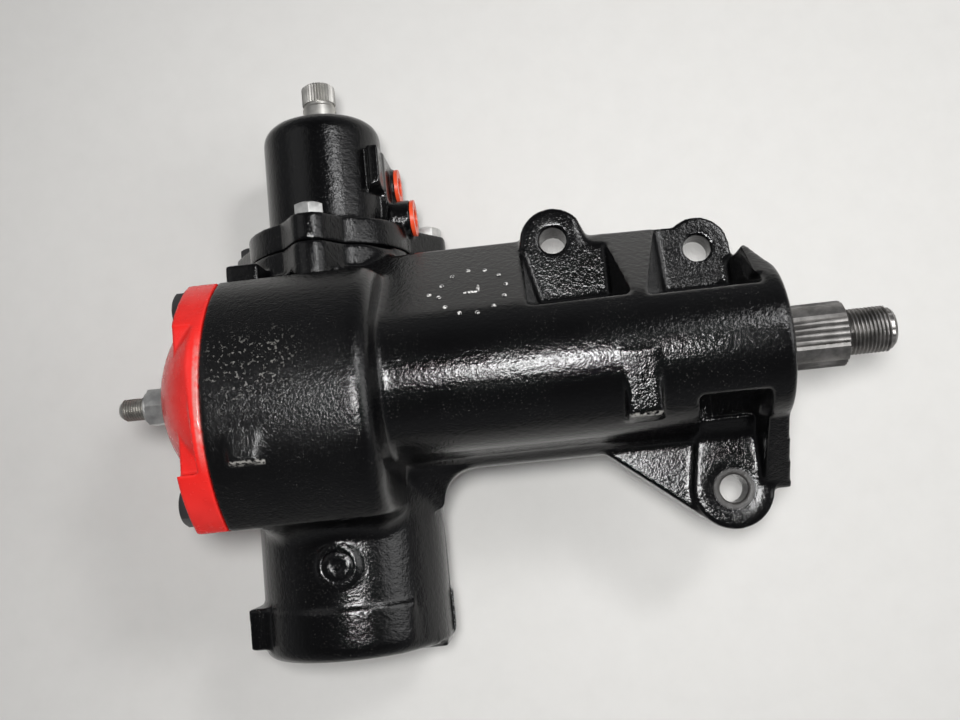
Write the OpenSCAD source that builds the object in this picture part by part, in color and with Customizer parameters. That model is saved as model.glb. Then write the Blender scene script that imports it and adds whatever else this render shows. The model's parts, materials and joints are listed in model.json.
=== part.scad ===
// Power steering gearbox of the recirculating-ball kind, in millimetres.
// +X runs along the sector shaft to the steering arm, +Y along the input shaft, +Z along the frame bolts.
// The origin is on the sector shaft's axis, where the arm spline ends and the arm nut's thread begins.

/* [Sector shaft] */
// Diameter of the arm nut's thread
thread_d = 22.2; // [20:0.1:24]
// Length of the arm nut's thread
thread_l = 22.5; // [18:0.5:28]
// Outside diameter of the arm spline
spline_d = 31.5; // [29:0.1:32]
// Number of teeth around the arm spline
spline_teeth = 36; // [24:4:48]
// Diameter of the shaft in its needle bearings
journal_d = 33; // [32.5:0.1:34]
// Diameter of a needle roller round the shaft
needle_d = 2.9; // [2.5:0.1:3.5]
// Width of the sector gear
sector_w = 40; // [34:1:44]
// Diameter of the shaft in the cover's bush
tail_d = 30; // [28:0.5:32]

/* [Gear mesh] */
// Pitch radius of the sector gear
pitch_r = 32; // [31:0.1:33]
// Pressure angle of the sector and the rack
pressure_angle = 25; // [24:0.5:26]
// Play across the pitch line
backlash = 0.15; // [0.1:0.05:0.3]
// Sector turn to either side of straight ahead
sector_turn = 42; // [36:1:42]

/* [Piston] */
// Distance of the piston axis back from the spline end
bore_back = 257; // [254:1:260]
// Distance of the rack's pitch line from the piston axis
rack_line = 26; // [25.5:0.5:27]
// Diameter of the power cylinder
bore_d = 82; // [81:0.5:84]
// Reach of the piston below the sector shaft
piston_low = 88; // [86:1:92]
// Reach of the piston above the sector shaft
piston_high = 34; // [32:1:38]

/* [Ball screw] */
// Turns of the input shaft for one turn of the sector shaft
steer_ratio = 17; // [16:0.5:18]
// Diameter of a bearing ball
ball_d = 6.35; // [6:0.05:6.5]
// Diameter of the circle through the ball centres
ball_circle_d = 25; // [24:0.5:26]
// Reach of the worm below the sector shaft
worm_low = 50; // [48:1:52]

/* [Housing] */
// Wall between the power cylinder and the cover joint
joint_wall = 1.5; // [1:0.25:3]
// Distance of the chamber's shoulder back from the spline end
step_back = 221; // [218:1:224]
// Distance of the tube's end face back from the spline end
end_back = 31.5; // [30:0.5:33]
// Distance of the foot's end back from the spline end
foot_back = 28.5; // [27:0.5:29.5]
// Outside radius of the sector tube
tube_r = 38; // [36:0.5:40]
// Radius of the chamber's crowned front and back
chamber_r = 72.5; // [70:0.5:76]
// Reach of the chamber in front of the sector shaft
chamber_front = 51.5; // [50:0.5:54]
// Reach of the chamber behind the sector shaft
chamber_rear = 58; // [55:0.5:62]
// Reach of the chamber above the gear's cavity
chamber_above = 17.6; // [16:0.2:20]
// Reach of the chamber below the gear's cavity
chamber_below = 25.6; // [24:0.2:28]
// Offset of the chamber's crown away from the valve
crown_low = 6.8; // [5:0.2:8]
// Wall of the power cylinder
barrel_wall = 8.5; // [7:0.5:10]
// Reach of the power cylinder below the sector shaft
barrel_low = 134; // [132:1:140]
// Slope of the web between the tube and the upper lugs
web_angle = 51; // [48:1:54]
// Drop of the mounting face below the sector shaft
mount_drop = 42; // [41:0.5:46]

/* [Mounting lugs] */
// Diameter of the frame bolt holes
mount_hole_d = 14; // [12:0.5:15]
// Upper lug nearer the cover, distance back from the spline end
lug_a_back = 133; // [129:1:137]
// Upper lug nearer the cover, height above the sector shaft
lug_a_y = 66; // [62:1:70]
// Upper lug nearer the arm, distance back from the spline end
lug_b_back = 59.5; // [57:0.5:62]
// Upper lug nearer the arm, height above the sector shaft
lug_b_y = 55; // [52:1:60]
// Lower lug, distance back from the spline end
lug_c_back = 57; // [55:1:60]
// Lower lug, depth below the sector shaft
lug_c_y = 69; // [66:1:73]

/* [Sector cover] */
// Thickness of the cover's rim
cover_rim = 4.8; // [4:0.2:7]
// Thickness of the cover at its bolts
cover_boss = 15; // [13:0.5:18]
// Height of the cover's dome above the joint
cover_h = 33; // [31:0.5:36]
// Radius of the dome at the rim
dome_base = 51; // [48:0.5:52]
// Distance of each cover bolt in from the chamber's end
cover_bolt_in = 12.4; // [11.8:0.2:13]
// Thread diameter of the cover bolts
cover_bolt_d = 9.5; // [8:0.1:10]

/* [Adjuster] */
// Thread diameter of the lash adjuster
adjuster_d = 11.1; // [10:0.1:12]
// Length of the adjuster outside the cover
adjuster_out = 25; // [21:0.5:28]
// Width of the locknut across its flats
locknut_af = 17.5; // [17:0.5:20]
// Thickness of the locknut
locknut_h = 11.5; // [8:0.5:13]

/* [Valve and input shaft] */
// Height of the valve housing's joint above the sector shaft
valve_joint = 77.4; // [75:0.2:80]
// Thickness of the valve housing's flange
valve_flange = 14.4; // [13:0.2:16]
// Height of the valve housing above its joint
valve_h = 79.2; // [77:0.2:82]
// Outside radius of the valve housing
valve_r = 33; // [32:0.5:35]
// Outside diameter of the input shaft's serration
input_d = 19; // [17:0.1:20]
// Length of the input shaft outside the valve housing
input_out = 25.5; // [25:0.5:32]
// Distance of the front valve bolt outside the power cylinder
valve_bolt_front = 6.5; // [6:0.5:9]
// Distance of the side valve bolts outside the power cylinder
valve_bolt_side = 18; // [17:0.5:21]
// Radius of the pressure and return bosses
port_r = 10.5; // [10:0.25:11.5]

/* [Fits] */
// Radial clearance of a running fit
running = 0.05; // [0.02:0.01:0.08]
// Radial clearance of a thread or a bolt in its hole
bolt_gap = 0.1; // [0.05:0.05:0.3]
// Radial clearance between a ball and its track
track_gap = 0.45; // [0.4:0.05:0.6]

/* [Hidden] */
$fn = 64;
eps = 0.01;
cut = 1;

// Gear mesh, with the number of teeth that a full circle would have
circle_teeth = 10;
tooth_step = 360 / circle_teeth;
rack_step = 2 * PI * pitch_r / circle_teeth;
tooth_module = 2 * pitch_r / circle_teeth;
addendum = 0.8 * tooth_module;
dedendum = tooth_module;
base_r = pitch_r * cos(pressure_angle);
tip_r = pitch_r + addendum;
root_r = pitch_r - dedendum;
rack_tip = rack_line + addendum;
travel = pitch_r * sector_turn * PI / 180;
axis_drop = pitch_r + rack_line;

// Ball screw
lead = 2 * PI * pitch_r / steer_ratio;
ball_circle_r = ball_circle_d / 2;
track_r = ball_d / 2 + track_gap;
land_gap = 0.7;
worm_r = ball_circle_r - land_gap;
nut_r = ball_circle_r + land_gap;
track_points = 18;
track_slices = 14;
nut_grow = 1 / (cos(180 / track_slices) * cos(180 / track_points));
circuit_turns = 1.5;
circuit_gap = 0.5 * lead;
circuit_low = -1.5 * lead;
circuit_l = circuit_turns * lead;
nut_low = circuit_low - 4;
nut_high = circuit_low + 2 * circuit_l + circuit_gap + 4;
circuit_balls = floor(circuit_turns * norm([2 * PI * ball_circle_r, lead]) / (ball_d + 0.1));
worm_thread_high = nut_high + travel + 2;

// Piston
piston_r = bore_d / 2 - running;
rack_low = -52;
ring_y = -piston_low + 14;
ring_w = 4;
ring_t = 2.5;
piston_plug_h = 10;
piston_plug_r = nut_r + 3;
worm_room = worm_low + travel + 2.5;
guide_r = ball_d / 2 + 1.1;
guide_span = norm([ball_circle_d, circuit_l]);
guide_turn = atan2(circuit_l, ball_circle_d);
clamp_t = 2.5;
clamp_w = 14;
clamp_gap = 1.4;
clamp_flat = bore_d / 2 - clamp_t - clamp_gap;
clamp_end = 6;
clamp_screw_d = 4.2;
clamp_screw_l = 10;
guide_gap = 0.4;
guide_leg = clamp_flat - guide_span / 2 - guide_r - guide_gap;

// Sector shaft and its seats
joint_back = bore_back + bore_d / 2 + joint_wall;
tooth_room = 1.8;
cavity_r = tip_r + tooth_room;
chamber_over = cavity_r + chamber_above;
chamber_under = cavity_r + chamber_below;
sector_x = [-bore_back - sector_w / 2, -bore_back + sector_w / 2];
cover_wall = 8;
dome_h = cover_h - cover_rim;
dome_r = (dome_base * dome_base + dome_h * dome_h) / (2 * dome_h);
seat_r = 10.5;
relief_deep = 12;
relief_in = [27.5, 24.2];
relief_z = chamber_front - relief_deep;
relief_y = [relief_in[0] - chamber_under, chamber_over - relief_in[1]];
cover_gap = 1;
cover_spigot = 4.2;
cover_seal_d = 2;
seal_room = 0.1;
tail_end = -joint_back - cover_h + cover_wall + 3;
spline_plain = 12;
head_d = adjuster_d + 5;
head_t = 4.4;
lip_t = 4;
shim_t = 1;
end_play = 0.15;
slot_gap = 0.25;
bush_t = 2.5;
bush_od = tail_d + 2 * (running + bush_t);
bush_l = 22;
shell_t = 1.5;
shell_ir = journal_d / 2 + needle_d + 2 * running;
bearing_od = 2 * (shell_ir + shell_t);
roller_count = 24;
roller_circle_r = (shell_ir + journal_d / 2) / 2;
bearing_l = 34;
roller_end = 2;
seal_l = 9;
dust_seal_l = 6;
clip_t = 1.5;
seal_x = -end_back - clip_t - 2;
outer_bearing_x = seal_x - dust_seal_l - seal_l - 4 - bearing_l;
inner_bearing_x = -step_back + 6;
tube_relief_r = tube_r - 13;

// Tube, web, foot and lugs
web_t = 12;
web_low_y = 72;
foot_t = 17;
foot_low_y = -92;
foot_end_y = -71;
foot_edge = 45.5;
foot_turn_r = 6;
foot_inner_r = 19;
foot_inner_x = -step_back + 35.5;
end_wall_t = 11;
end_round = 3;
lug_r = 17;
lug_c_r = 20;
lug_a = [-lug_a_back, lug_a_y];
lug_b = [-lug_b_back, lug_b_y];
lug_c = [-lug_c_back, -lug_c_y];
lug_a_z = -16;
lug_b_z = -24;
lug_c_z = -22;
spot_deep = 0.6;
face_relief = 30;
face_relief_deep = 1.5;

// Valve, worm bearing and input shaft, as heights above the sector shaft
flange_y = valve_joint + valve_flange;
valve_top = valve_joint + valve_h;
spigot_l = 10;
spigot_r = bore_d / 2 - running;
race_nut_r = 30;
race_nut_hole_r = 18;
worm_seat_d = 25;
worm_bearing_r = 26;
worm_bearing_l = 14;
worm_bearing_y = valve_joint + 0.4;
worm_bearing_top = worm_bearing_y + worm_bearing_l;
race_ball_d = 6.4;
race_circle_r = (worm_seat_d / 2 + worm_bearing_r) / 2;
race_t = 3.6;
head_l = 3;
sleeve_r = 22;
sleeve_y = worm_bearing_top + head_l;
sleeve_pitch = 9.5;
sleeve_end = 6.5;
sleeve_l = 3 * sleeve_pitch + sleeve_end;
sleeve_top = sleeve_y + sleeve_l;
sleeve_ring_y = [for (k = [0:3]) sleeve_y + 2 + sleeve_pitch * k];
spool_r = 13;
shaft_d = 22;
needle_od = 32;
needle_l = 9;
needle_y = sleeve_top + 1;
input_seal_r = 18;
input_seal_y = needle_y + needle_l;
input_seal_l = 4.5;
input_clip_y = input_seal_y + input_seal_l;
input_tip = valve_top + input_out;
serration_l = 11;
serration_teeth = 36;
serration_deep = 0.7;
root_gap = 0.25;
bar_d = 6.4;
bar_waist = 0.8;
bar_low = valve_joint - 14;
pin_d = 3;
pin_low_y = valve_joint - 6;
pin_high_y = input_tip - serration_l - 6;

// Bolts
hex_h = 6.5;
valve_bolt_d = 9.5;
valve_bolt_af = 14.3;
valve_bolt_deep = 14;
lobe_r = 10.5;
flange_wall = 4;
side_bolt_r = bore_d / 2 + valve_bolt_side;
side_bolt_low = 28;
valve_bolts_at = [[0, bore_d / 2 + valve_bolt_front],
    side_bolt_r * [cos(side_bolt_low), -sin(side_bolt_low)],
    side_bolt_r * [-cos(side_bolt_low), -sin(side_bolt_low)]];
cover_bolt_z = [10, 16];
cover_bolt_low = 1.5;
cover_bolts_at = [[chamber_over - cover_bolt_in, cover_bolt_z[0]],
    [cover_bolt_in + cover_bolt_low - chamber_under, cover_bolt_z[1]]];
cover_bolt_af = 17.5;
cover_flange_r = 0.6 * cover_bolt_af;
spot_room = 0.6;
cover_bolt_deep = 20;

// Ports
port_y = [valve_joint + 44.7, valve_joint + 20.2];
port_z = [-axis_drop - 15, -axis_drop + 2];
port_end = [-bore_back + valve_r + 5.5, -bore_back + bore_d / 2 + 7];
port_d = 15.9;
port_deep = 13;
port_spot = 16;
seat_d = 11;
seat_l = 4;
passage_d = 6;
plug_rim_t = 2;

// A round bar along X between two places on the sector shaft's axis
module rod_x(x0, x1, r) {
    translate([x0, 0, 0]) rotate([0, 90, 0]) cylinder(r = r, h = x1 - x0);
}

// A round bar along Y between two heights
module rod_y(y0, y1, r) {
    translate([0, y0, 0]) rotate([-90, 0, 0]) cylinder(r = r, h = y1 - y0);
}

// A ring along X
module ring_x(x0, x1, outer, inner) {
    difference() {
        rod_x(x0, x1, outer);
        rod_x(x0 - cut, x1 + cut, inner);
    }
}

// A ring along Y
module ring_y(y0, y1, outer, inner) {
    difference() {
        rod_y(y0, y1, outer);
        rod_y(y0 - cut, y1 + cut, inner);
    }
}

// A turned shape on the X axis, from a half profile of [radius, place]
module turned_x(profile) {
    rotate([0, 90, 0]) rotate_extrude() polygon(profile);
}

// A turned shape on the Y axis, from a half profile of [radius, place]
module turned_y(profile) {
    rotate([-90, 0, 0]) rotate_extrude() polygon(profile);
}

// A flat outline in the YZ plane, drawn out along X
module section_x(x0, x1) {
    translate([x0, 0, 0]) rotate([90, 0, 90]) linear_extrude(x1 - x0) children();
}

// A flat outline in the XZ plane, drawn out along Y
module section_y(y0, y1) {
    translate([0, y1, 0]) rotate([90, 0, 0]) linear_extrude(y1 - y0) children();
}

// Places its children on the piston's axis
module at_bore() {
    translate([-bore_back, 0, -axis_drop]) children();
}

// A quarter round between two directions, as points about a centre
function arc(centre, r, from, to, steps = 5) =
    [for (i = [0:steps]) let (a = from + (to - from) * i / steps) centre + r * [cos(a), sin(a)]];

// The four corners where the outer tangents of two circles touch them
function tangents(a, ra, b, rb) =
    let (way = atan2(b.y - a.y, b.x - a.x), off = acos((ra - rb) / norm(b - a)))
    [for (c = [[a, ra, off], [b, rb, off], [b, rb, -off], [a, ra, -off]])
        c[0] + c[1] * [cos(way + c[2]), sin(way + c[2])]];

// Two discs joined by their tangents
module link(a, ra, b, rb) {
    translate(a) circle(ra);
    translate(b) circle(rb);
    polygon(tangents(a, ra, b, rb));
}

// The angle by which an involute has unrolled at a pressure angle
function involute(a) = tan(a) * 180 / PI - a;

// Half the angle that a sector tooth fills at a radius
function tooth_half(r) =
    90 / circle_teeth - backlash / pitch_r * 90 / PI + involute(pressure_angle)
    - involute(acos(min(1, base_r / r)));

// One sector tooth, pointing up the page
module sector_tooth() {
    steps = 7;
    radii = [root_r - 3, for (i = [0:steps]) base_r + (tip_r - base_r) * i / steps];
    right = [for (r = radii) r * [sin(tooth_half(max(r, base_r))), cos(tooth_half(max(r, base_r)))]];
    left = [for (i = [len(right) - 1:-1:0]) [-right[i].x, right[i].y]];
    polygon(concat(right, left));
}

// One space of the rack, about the pitch line, open to the top
module rack_space() {
    slope = tan(pressure_angle);
    half = rack_step / 4 + backlash / 2;
    top = addendum + 2;
    polygon([[-half + dedendum * slope, -dedendum], [half - dedendum * slope, -dedendum],
        [half + top * slope, top], [-half - top * slope, top]]);
}

// Serrations: a toothed disc, which may have four plain bands
module serration(r, teeth, depth, plain = 0) {
    polygon([for (i = [0:2 * teeth - 1])
        let (a = 180 * i / teeth, root = i % 2 == 1 && abs(a % 90 - 45) >= plain)
        (root ? r - depth : r) * [cos(a), sin(a)]]);
}

// A plain hexagon across its flats
module hexagon(af) {
    circle(r = af / sqrt(3), $fn = 6);
}

// Cross-section of the worm or of the nut, with the ball track centred on the X direction
module track_section(land, side) {
    polygon([for (i = [0:track_points - 1])
        let (
            a = -180 + 360 * i / track_points,
            s = lead * a / 360,
            dip = ball_circle_r + side * sqrt(max(0, track_r * track_r - s * s)),
            r = abs(s) < track_r ? (side < 0 ? min(land, dip) : max(land, dip)) : land)
        (side < 0 ? 1 : nut_grow) * r * [cos(a), sin(a)]]);
}

// A right-handed ball track on the Y axis between two heights
module track(y0, y1, land, side) {
    turns = (y1 - y0) / lead;
    translate([0, y0, 0]) rotate([-90, 0, 0]) rotate(360 * y0 / lead)
        linear_extrude(height = y1 - y0, twist = -360 * turns, slices = ceil(turns * track_slices),
            segments = track_points) track_section(land, side);
}

// Outline of the valve flange, shared by both housings
module flange_outline() {
    circle(r = bore_d / 2 + flange_wall);
    for (i = [0:2]) link(valve_bolts_at[i], lobe_r, valve_bolts_at[(i + 1) % 3], lobe_r);
}

// Places its children at each valve bolt
module at_valve_bolts() {
    at_bore() for (p = valve_bolts_at) translate([p.x, 0, p.y]) children();
}

// Places its children at each cover bolt
module at_cover_bolts() {
    for (p = cover_bolts_at) translate([0, p.x, p.y]) children();
}

// Outline shared by the chamber and its cover: two crowned faces between flat ends
module chamber_outline(grow = 0) {
    intersection() {
        translate([-crown_low, chamber_front - chamber_r]) circle(chamber_r + grow);
        translate([-crown_low, chamber_r - chamber_rear]) circle(chamber_r + grow);
        translate([-chamber_under - grow, -chamber_r])
            square([chamber_under + chamber_over + 2 * grow, 2 * chamber_r]);
    }
}

// The bolted chamber round the sector gear, with a rounded shoulder
module chamber() {
    round = 9;
    l = joint_back - step_back;
    intersection() {
        translate([-joint_back, -crown_low, chamber_front - chamber_r])
            turned_x(concat([[0, 0], [chamber_r, 0]], arc([chamber_r - round, l - round], round, 0, 90),
                [[0, l]]));
        section_x(-joint_back, -step_back) chamber_outline();
    }
}

// The closed cylinder round the piston, with a raised band at its foot
module barrel() {
    r = bore_d / 2 + barrel_wall;
    round = 7;
    band_top = -barrel_low + 24.7;
    at_bore() turned_y(concat([[0, -barrel_low]],
        arc([r + 1.5 - round, -barrel_low + round], round, -90, 0),
        [[r + 1.5, band_top], [r + 0.3, band_top + 1.5], [r, valve_joint - valve_flange],
            [0, valve_joint]]));
}

// Side view of the tube with its web and its foot flange
function web_z(y) = (tube_r - y * sin(web_angle)) / cos(web_angle);
module body_section() {
    circle(tube_r);
    polygon([tube_r * [sin(web_angle), cos(web_angle)], [web_low_y, web_z(web_low_y)],
        [web_low_y, -mount_drop], [foot_low_y, -mount_drop], [foot_low_y, foot_t - mount_drop],
        [-tube_r - 6, foot_t - mount_drop], [-tube_r - 2, foot_t - mount_drop + 6], [-tube_r, 0]]);
}

// Top view of the same body, without its upper lugs
module body_plan() {
    link(lug_c, lug_c_r, [lug_c.x - 59, -foot_edge + foot_turn_r], foot_turn_r);
    link(lug_c, lug_c_r, [lug_c.x + 8, -40], 20);
    polygon(concat([[-bore_back, 71], [lug_a.x - lug_r, 70], [lug_b.x - 12, 67.2], [lug_b.x + 12, 48.5],
        [-end_back - 6.4, 40.4], [-end_back - end_round, 30.5],
        [-end_back - end_round, -foot_edge]],
        arc([foot_inner_x, -foot_edge - foot_inner_r], foot_inner_r, 90, 180),
        [[-bore_back, -foot_edge - 30]]));
}

// The three lugs, from the mounting face to their bolt faces
module lugs() {
    translate([0, 0, -mount_drop]) {
        linear_extrude(mount_drop + lug_a_z) link(lug_a, lug_r, [lug_a.x + 3, 24], lug_r + 3);
        linear_extrude(mount_drop + lug_b_z) link(lug_b, lug_r - 0.5, [lug_b.x, 20], lug_r + 1);
        linear_extrude(mount_drop + lug_c_z) link(lug_c, lug_c_r, [lug_c.x, -36], 14);
    }
}

// End wall at the arm, from the tube out to the lower lug
module end_wall() {
    back = -end_back - end_wall_t;
    intersection() {
        section_x(back, -foot_back)
            polygon([[0, 0], [-tube_r * cos(15), tube_r * sin(15)], [foot_end_y, foot_t - mount_drop],
                [foot_end_y, -mount_drop], [0, -mount_drop]]);
        translate([0, 0, -mount_drop]) linear_extrude(2 * mount_drop)
            polygon([[back, cut], [-end_back - end_round, cut], [-end_back - end_round, -tube_r / 2],
                [-foot_back, foot_end_y], [back, foot_end_y]]);
    }
}

// A drafted pocket over a lug, so that a bolt head can seat, open to +Y for side 1 and to -Y for side -1
module lug_pocket(x0, x1, y0, floor_z, draft0, draft1, side, turn0 = 0) {
    h = 70;
    reach = 80;
    wall_draft = 0.17;
    intersection() {
        translate([x0, side * y0, floor_z]) rotate([0, 0, turn0]) section_y(-reach, reach)
            polygon([[0, 0], [reach, 0], [reach, h], [-h * draft0, h]]);
        translate([x1, side * y0, floor_z]) section_y(-reach, reach)
            polygon([[-reach, 0], [0, 0], [h * draft1, h], [-reach, h]]);
        translate([0, 0, floor_z]) section_x(x0 - h, x1 + h)
            polygon([[side * y0, 0], [side * (y0 - wall_draft * h), h], [side * (y0 + reach), h],
                [side * (y0 + reach), 0]]);
    }
}

module lug_pockets() {
    pocket_y = 33;
    lug_pocket(lug_a.x - 9.7, lug_a.x + 26, pocket_y, lug_a_z, 0.18, 0.15, 1, 13);
    lug_pocket(lug_b.x - 19, lug_b.x + 14, pocket_y, lug_b_z, 0.3, 0.1, 1, 3);
    lug_pocket(lug_c.x - 14, -end_back - end_wall_t, pocket_y, lug_c_z, 0.1, 0, -1);
}

// Hollow behind the web, open to the mounting face
module web_hollow() {
    inner = tube_r - web_t;
    edge_y = web_low_y - web_t + 2;
    section_x(-step_back + 14, lug_a.x - lug_r - 5)
        polygon([[tube_r, -mount_drop - cut], [edge_y, -mount_drop - cut],
            [edge_y, (inner - edge_y * sin(web_angle)) / cos(web_angle)],
            [tube_r, (inner - tube_r * sin(web_angle)) / cos(web_angle)]]);
}

// Cast pads on the chamber and on the tube, and a block under the valve flange
module cast_pads() {
    translate([-joint_back + 10.8, -35, 0]) cube([15, 15, chamber_front - 1.2]);
    section_x(lug_c.x - 52, lug_c.x - 36)
        polygon([[0, 0], [0, tube_r], [-2, tube_r + 0.6], [-31, tube_r - 4], [-34, tube_r - 16], [-20, 0]]);
    translate([-joint_back, 45, -45]) cube([17, 23, 47]);
}

// Round boss, ear and foot lump of the power cylinder
module barrel_marks() {
    boss_r = 10.5;
    at_bore() translate([0.5, -87, 0]) difference() {
        cylinder(r = boss_r, h = bore_d / 2 + barrel_wall + 1);
        translate([0, 0, bore_d / 2 + barrel_wall - 0.3]) cylinder(r = boss_r - 2, h = 3);
    }
    at_bore() translate([-bore_d / 2 - barrel_wall - 2, -barrel_low + 7, -14]) cube([30, 21, 45]);
    at_bore() translate([27, -barrel_low - 2, -14]) cube([20, 8, 26]);
}

module housing_body() {
    chamber();
    difference() {
        barrel();
        section_x(-joint_back - 20, -joint_back) chamber_outline(cover_gap);
    }
    difference() {
        union() {
            intersection() {
                section_x(-bore_back, -end_back - end_round) body_section();
                translate([0, 0, -mount_drop - cut]) linear_extrude(2 * tube_r + mount_drop) body_plan();
            }
            turned_x(concat([[0, -step_back - 20], [tube_r, -step_back - 20]],
                arc([tube_r - end_round, -end_back - end_round], end_round, 0, 90), [[0, -end_back]]));
            end_wall();
        }
        lug_pockets();
        web_hollow();
        translate([-step_back - face_relief, -2 * tube_r - cut, -mount_drop - cut])
            cube([2 * face_relief, 5 * tube_r, face_relief_deep + cut]);
    }
    lugs();
    cast_pads();
    barrel_marks();
    at_bore() section_y(valve_joint - valve_flange, valve_joint) flange_outline();
    at_valve_bolts() rod_y(valve_joint - valve_flange - 10, valve_joint, lobe_r);
    at_cover_bolts() rod_x(-joint_back, -joint_back + cover_bolt_deep + 8, 11);
}

module housing_cavities() {
    rod_x(-joint_back - cut, -step_back - 7, cavity_r);
    rod_x(-bore_back, -end_back + cut, bearing_od / 2);
    rod_x(inner_bearing_x + bearing_l, outer_bearing_x, tube_relief_r);
    at_bore() rod_y(-barrel_low + 12, valve_joint + cut, bore_d / 2);
    at_valve_bolts()
        rod_y(valve_joint - valve_bolt_deep - 3, valve_joint + cut, valve_bolt_d / 2 + bolt_gap);
    at_cover_bolts()
        rod_x(-joint_back - cut, -joint_back + cover_bolt_deep + 3, cover_bolt_d / 2 + bolt_gap);
    for (p = [lug_a, lug_b, lug_c])
        translate([p.x, p.y, -mount_drop - cut]) cylinder(d = mount_hole_d, h = mount_drop + 20);
    translate([lug_c.x, lug_c.y, lug_c_z - spot_deep]) cylinder(r = mount_hole_d / 2 + 6, h = 2);
}

module housing() color("#141518") difference() {
    housing_body();
    housing_cavities();
}

module sector_shaft() color("#8e8c88") {
    chamfer = 1.5;
    tooth_deep = 1.2;
    slot_w = adjuster_d + 2 * slot_gap;
    pocket_w = head_d + 2 * slot_gap;
    slot_x = tail_end + lip_t;
    difference() {
        union() {
            turned_x([[0, tail_end], [tail_d / 2 - chamfer, tail_end], [tail_d / 2, tail_end + chamfer],
                [tail_d / 2, sector_x[0]], [journal_d / 2, sector_x[0]], [journal_d / 2, seal_x + 1.5],
                [spline_d / 2 - 1, seal_x + 2.5], [spline_d / 2 - 1, -end_back], [0, -end_back]]);
            section_x(sector_x[0], sector_x[1]) {
                circle(root_r);
                for (i = [-1:1]) rotate(180 + i * tooth_step) sector_tooth();
            }
            section_x(-end_back, -chamfer) serration(spline_d / 2, spline_teeth, tooth_deep, spline_plain);
            turned_x([[0, -chamfer], [spline_d / 2 - tooth_deep - root_gap, -chamfer],
                [thread_d / 2 + 1, 0], [thread_d / 2, 0], [thread_d / 2, thread_l - chamfer],
                [thread_d / 2 - chamfer, thread_l], [0, thread_l]]);
        }
        translate([tail_end - cut, -slot_w / 2, -tail_d]) cube([lip_t + 2 * cut, slot_w, 2 * tail_d]);
        translate([slot_x, -pocket_w / 2, -tail_d])
            cube([head_t + shim_t + 2 * end_play, pocket_w, 2 * tail_d]);
    }
}

module sector_cover() color("#c8281e") {
    top = -joint_back - cover_h;
    rim = -joint_back - cover_rim;
    boss = -joint_back - cover_boss;
    difference() {
        union() {
            section_x(rim, -joint_back) chamber_outline();
            section_x(boss, -joint_back) difference() {
                chamber_outline();
                translate([relief_y[0], relief_z]) square([relief_y[1] - relief_y[0], chamber_r]);
            }
            intersection() {
                translate([top + dome_r, 0, 0]) sphere(dome_r);
                section_x(top, -joint_back) chamber_outline();
            }
            rod_x(top, -joint_back, seat_r);
            rod_x(-joint_back - eps, -joint_back + cover_spigot, cavity_r - running);
        }
        rod_x(top + cover_wall, -joint_back + cover_spigot + cut, bush_od / 2);
        rod_x(-joint_back - 4, -joint_back + cover_spigot + cut, cavity_r - 7);
        rod_x(top - cut, 0, adjuster_d / 2 + bolt_gap);
        translate([-joint_back + cover_spigot / 2, 0, 0])
            ring_x(-cover_seal_d / 2 - seal_room, cover_seal_d / 2 + seal_room, cavity_r + cut,
                cavity_r - running - cover_seal_d - seal_room);
        at_cover_bolts() {
            rod_x(boss - cut, 0, cover_bolt_d / 2 + bolt_gap);
            rod_x(top, boss, cover_flange_r + spot_room);
        }
    }
}

module cover_seal() color("#1c1c1c")
    translate([-joint_back + cover_spigot / 2, 0, 0]) rotate([0, 90, 0]) rotate_extrude()
        translate([cavity_r - running - cover_seal_d / 2, 0]) circle(d = cover_seal_d, $fn = 24);

module cover_bolts() color("#222326") at_cover_bolts() {
    seat = -joint_back - cover_boss;
    rod_x(seat - eps, -joint_back + cover_bolt_deep, cover_bolt_d / 2);
    rod_x(seat - 2, seat, cover_flange_r);
    section_x(seat - hex_h - 1, seat - 2 + eps) hexagon(cover_bolt_af);
}

module cover_bush() color("#b08d57")
    ring_x(-joint_back - cover_h + cover_wall + 1, -joint_back - cover_h + cover_wall + 1 + bush_l,
        bush_od / 2, tail_d / 2 + running);

module adjuster_screw() color("#a9a6a0") {
    tip = -joint_back - cover_h - adjuster_out;
    seat = tail_end + lip_t + end_play + shim_t;
    difference() {
        turned_x([[0, tip], [adjuster_d / 2 - 1.5, tip], [adjuster_d / 2, tip + 1.5],
            [adjuster_d / 2, seat], [head_d / 2, seat], [head_d / 2, seat + head_t], [0, seat + head_t]]);
        section_x(tip - cut, tip + 5) hexagon(5.5);
    }
}

module adjuster_shim() color("#9b988f")
    translate([tail_end + lip_t + end_play, 0, 0])
        ring_x(0, shim_t, head_d / 2, adjuster_d / 2 + slot_gap);

module adjuster_locknut() color("#b5b7b8") {
    face = -joint_back - cover_h;
    difference() {
        section_x(face - locknut_h, face) hexagon(locknut_af);
        rod_x(face - locknut_h - cut, face + cut, adjuster_d / 2 + bolt_gap);
    }
}

// Needle bearing shell and its ring of rollers
module needle_shell(x) {
    ring_x(x, x + bearing_l, bearing_od / 2, shell_ir);
}

module needle_rollers(x) {
    for (i = [0:roller_count - 1]) rotate([360 * i / roller_count, 0, 0])
        translate([0, roller_circle_r, 0]) rod_x(x + roller_end, x + bearing_l - roller_end, needle_d / 2);
}

module inner_bearing_shell() color("#8f9092") needle_shell(inner_bearing_x);
module inner_bearing_rollers() color("#c4c5c7") needle_rollers(inner_bearing_x);
module outer_bearing_shell() color("#8f9092") needle_shell(outer_bearing_x);
module outer_bearing_rollers() color("#c4c5c7") needle_rollers(outer_bearing_x);

// A lip seal: a ring whose hollow side faces the oil
module lip_seal_x(x0, x1, outer, inner) {
    difference() {
        ring_x(x0, x1, outer, inner);
        ring_x(x0 - cut, x0 + 0.6 * (x1 - x0), outer - 1.2, inner + 1.4);
    }
}

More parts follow.
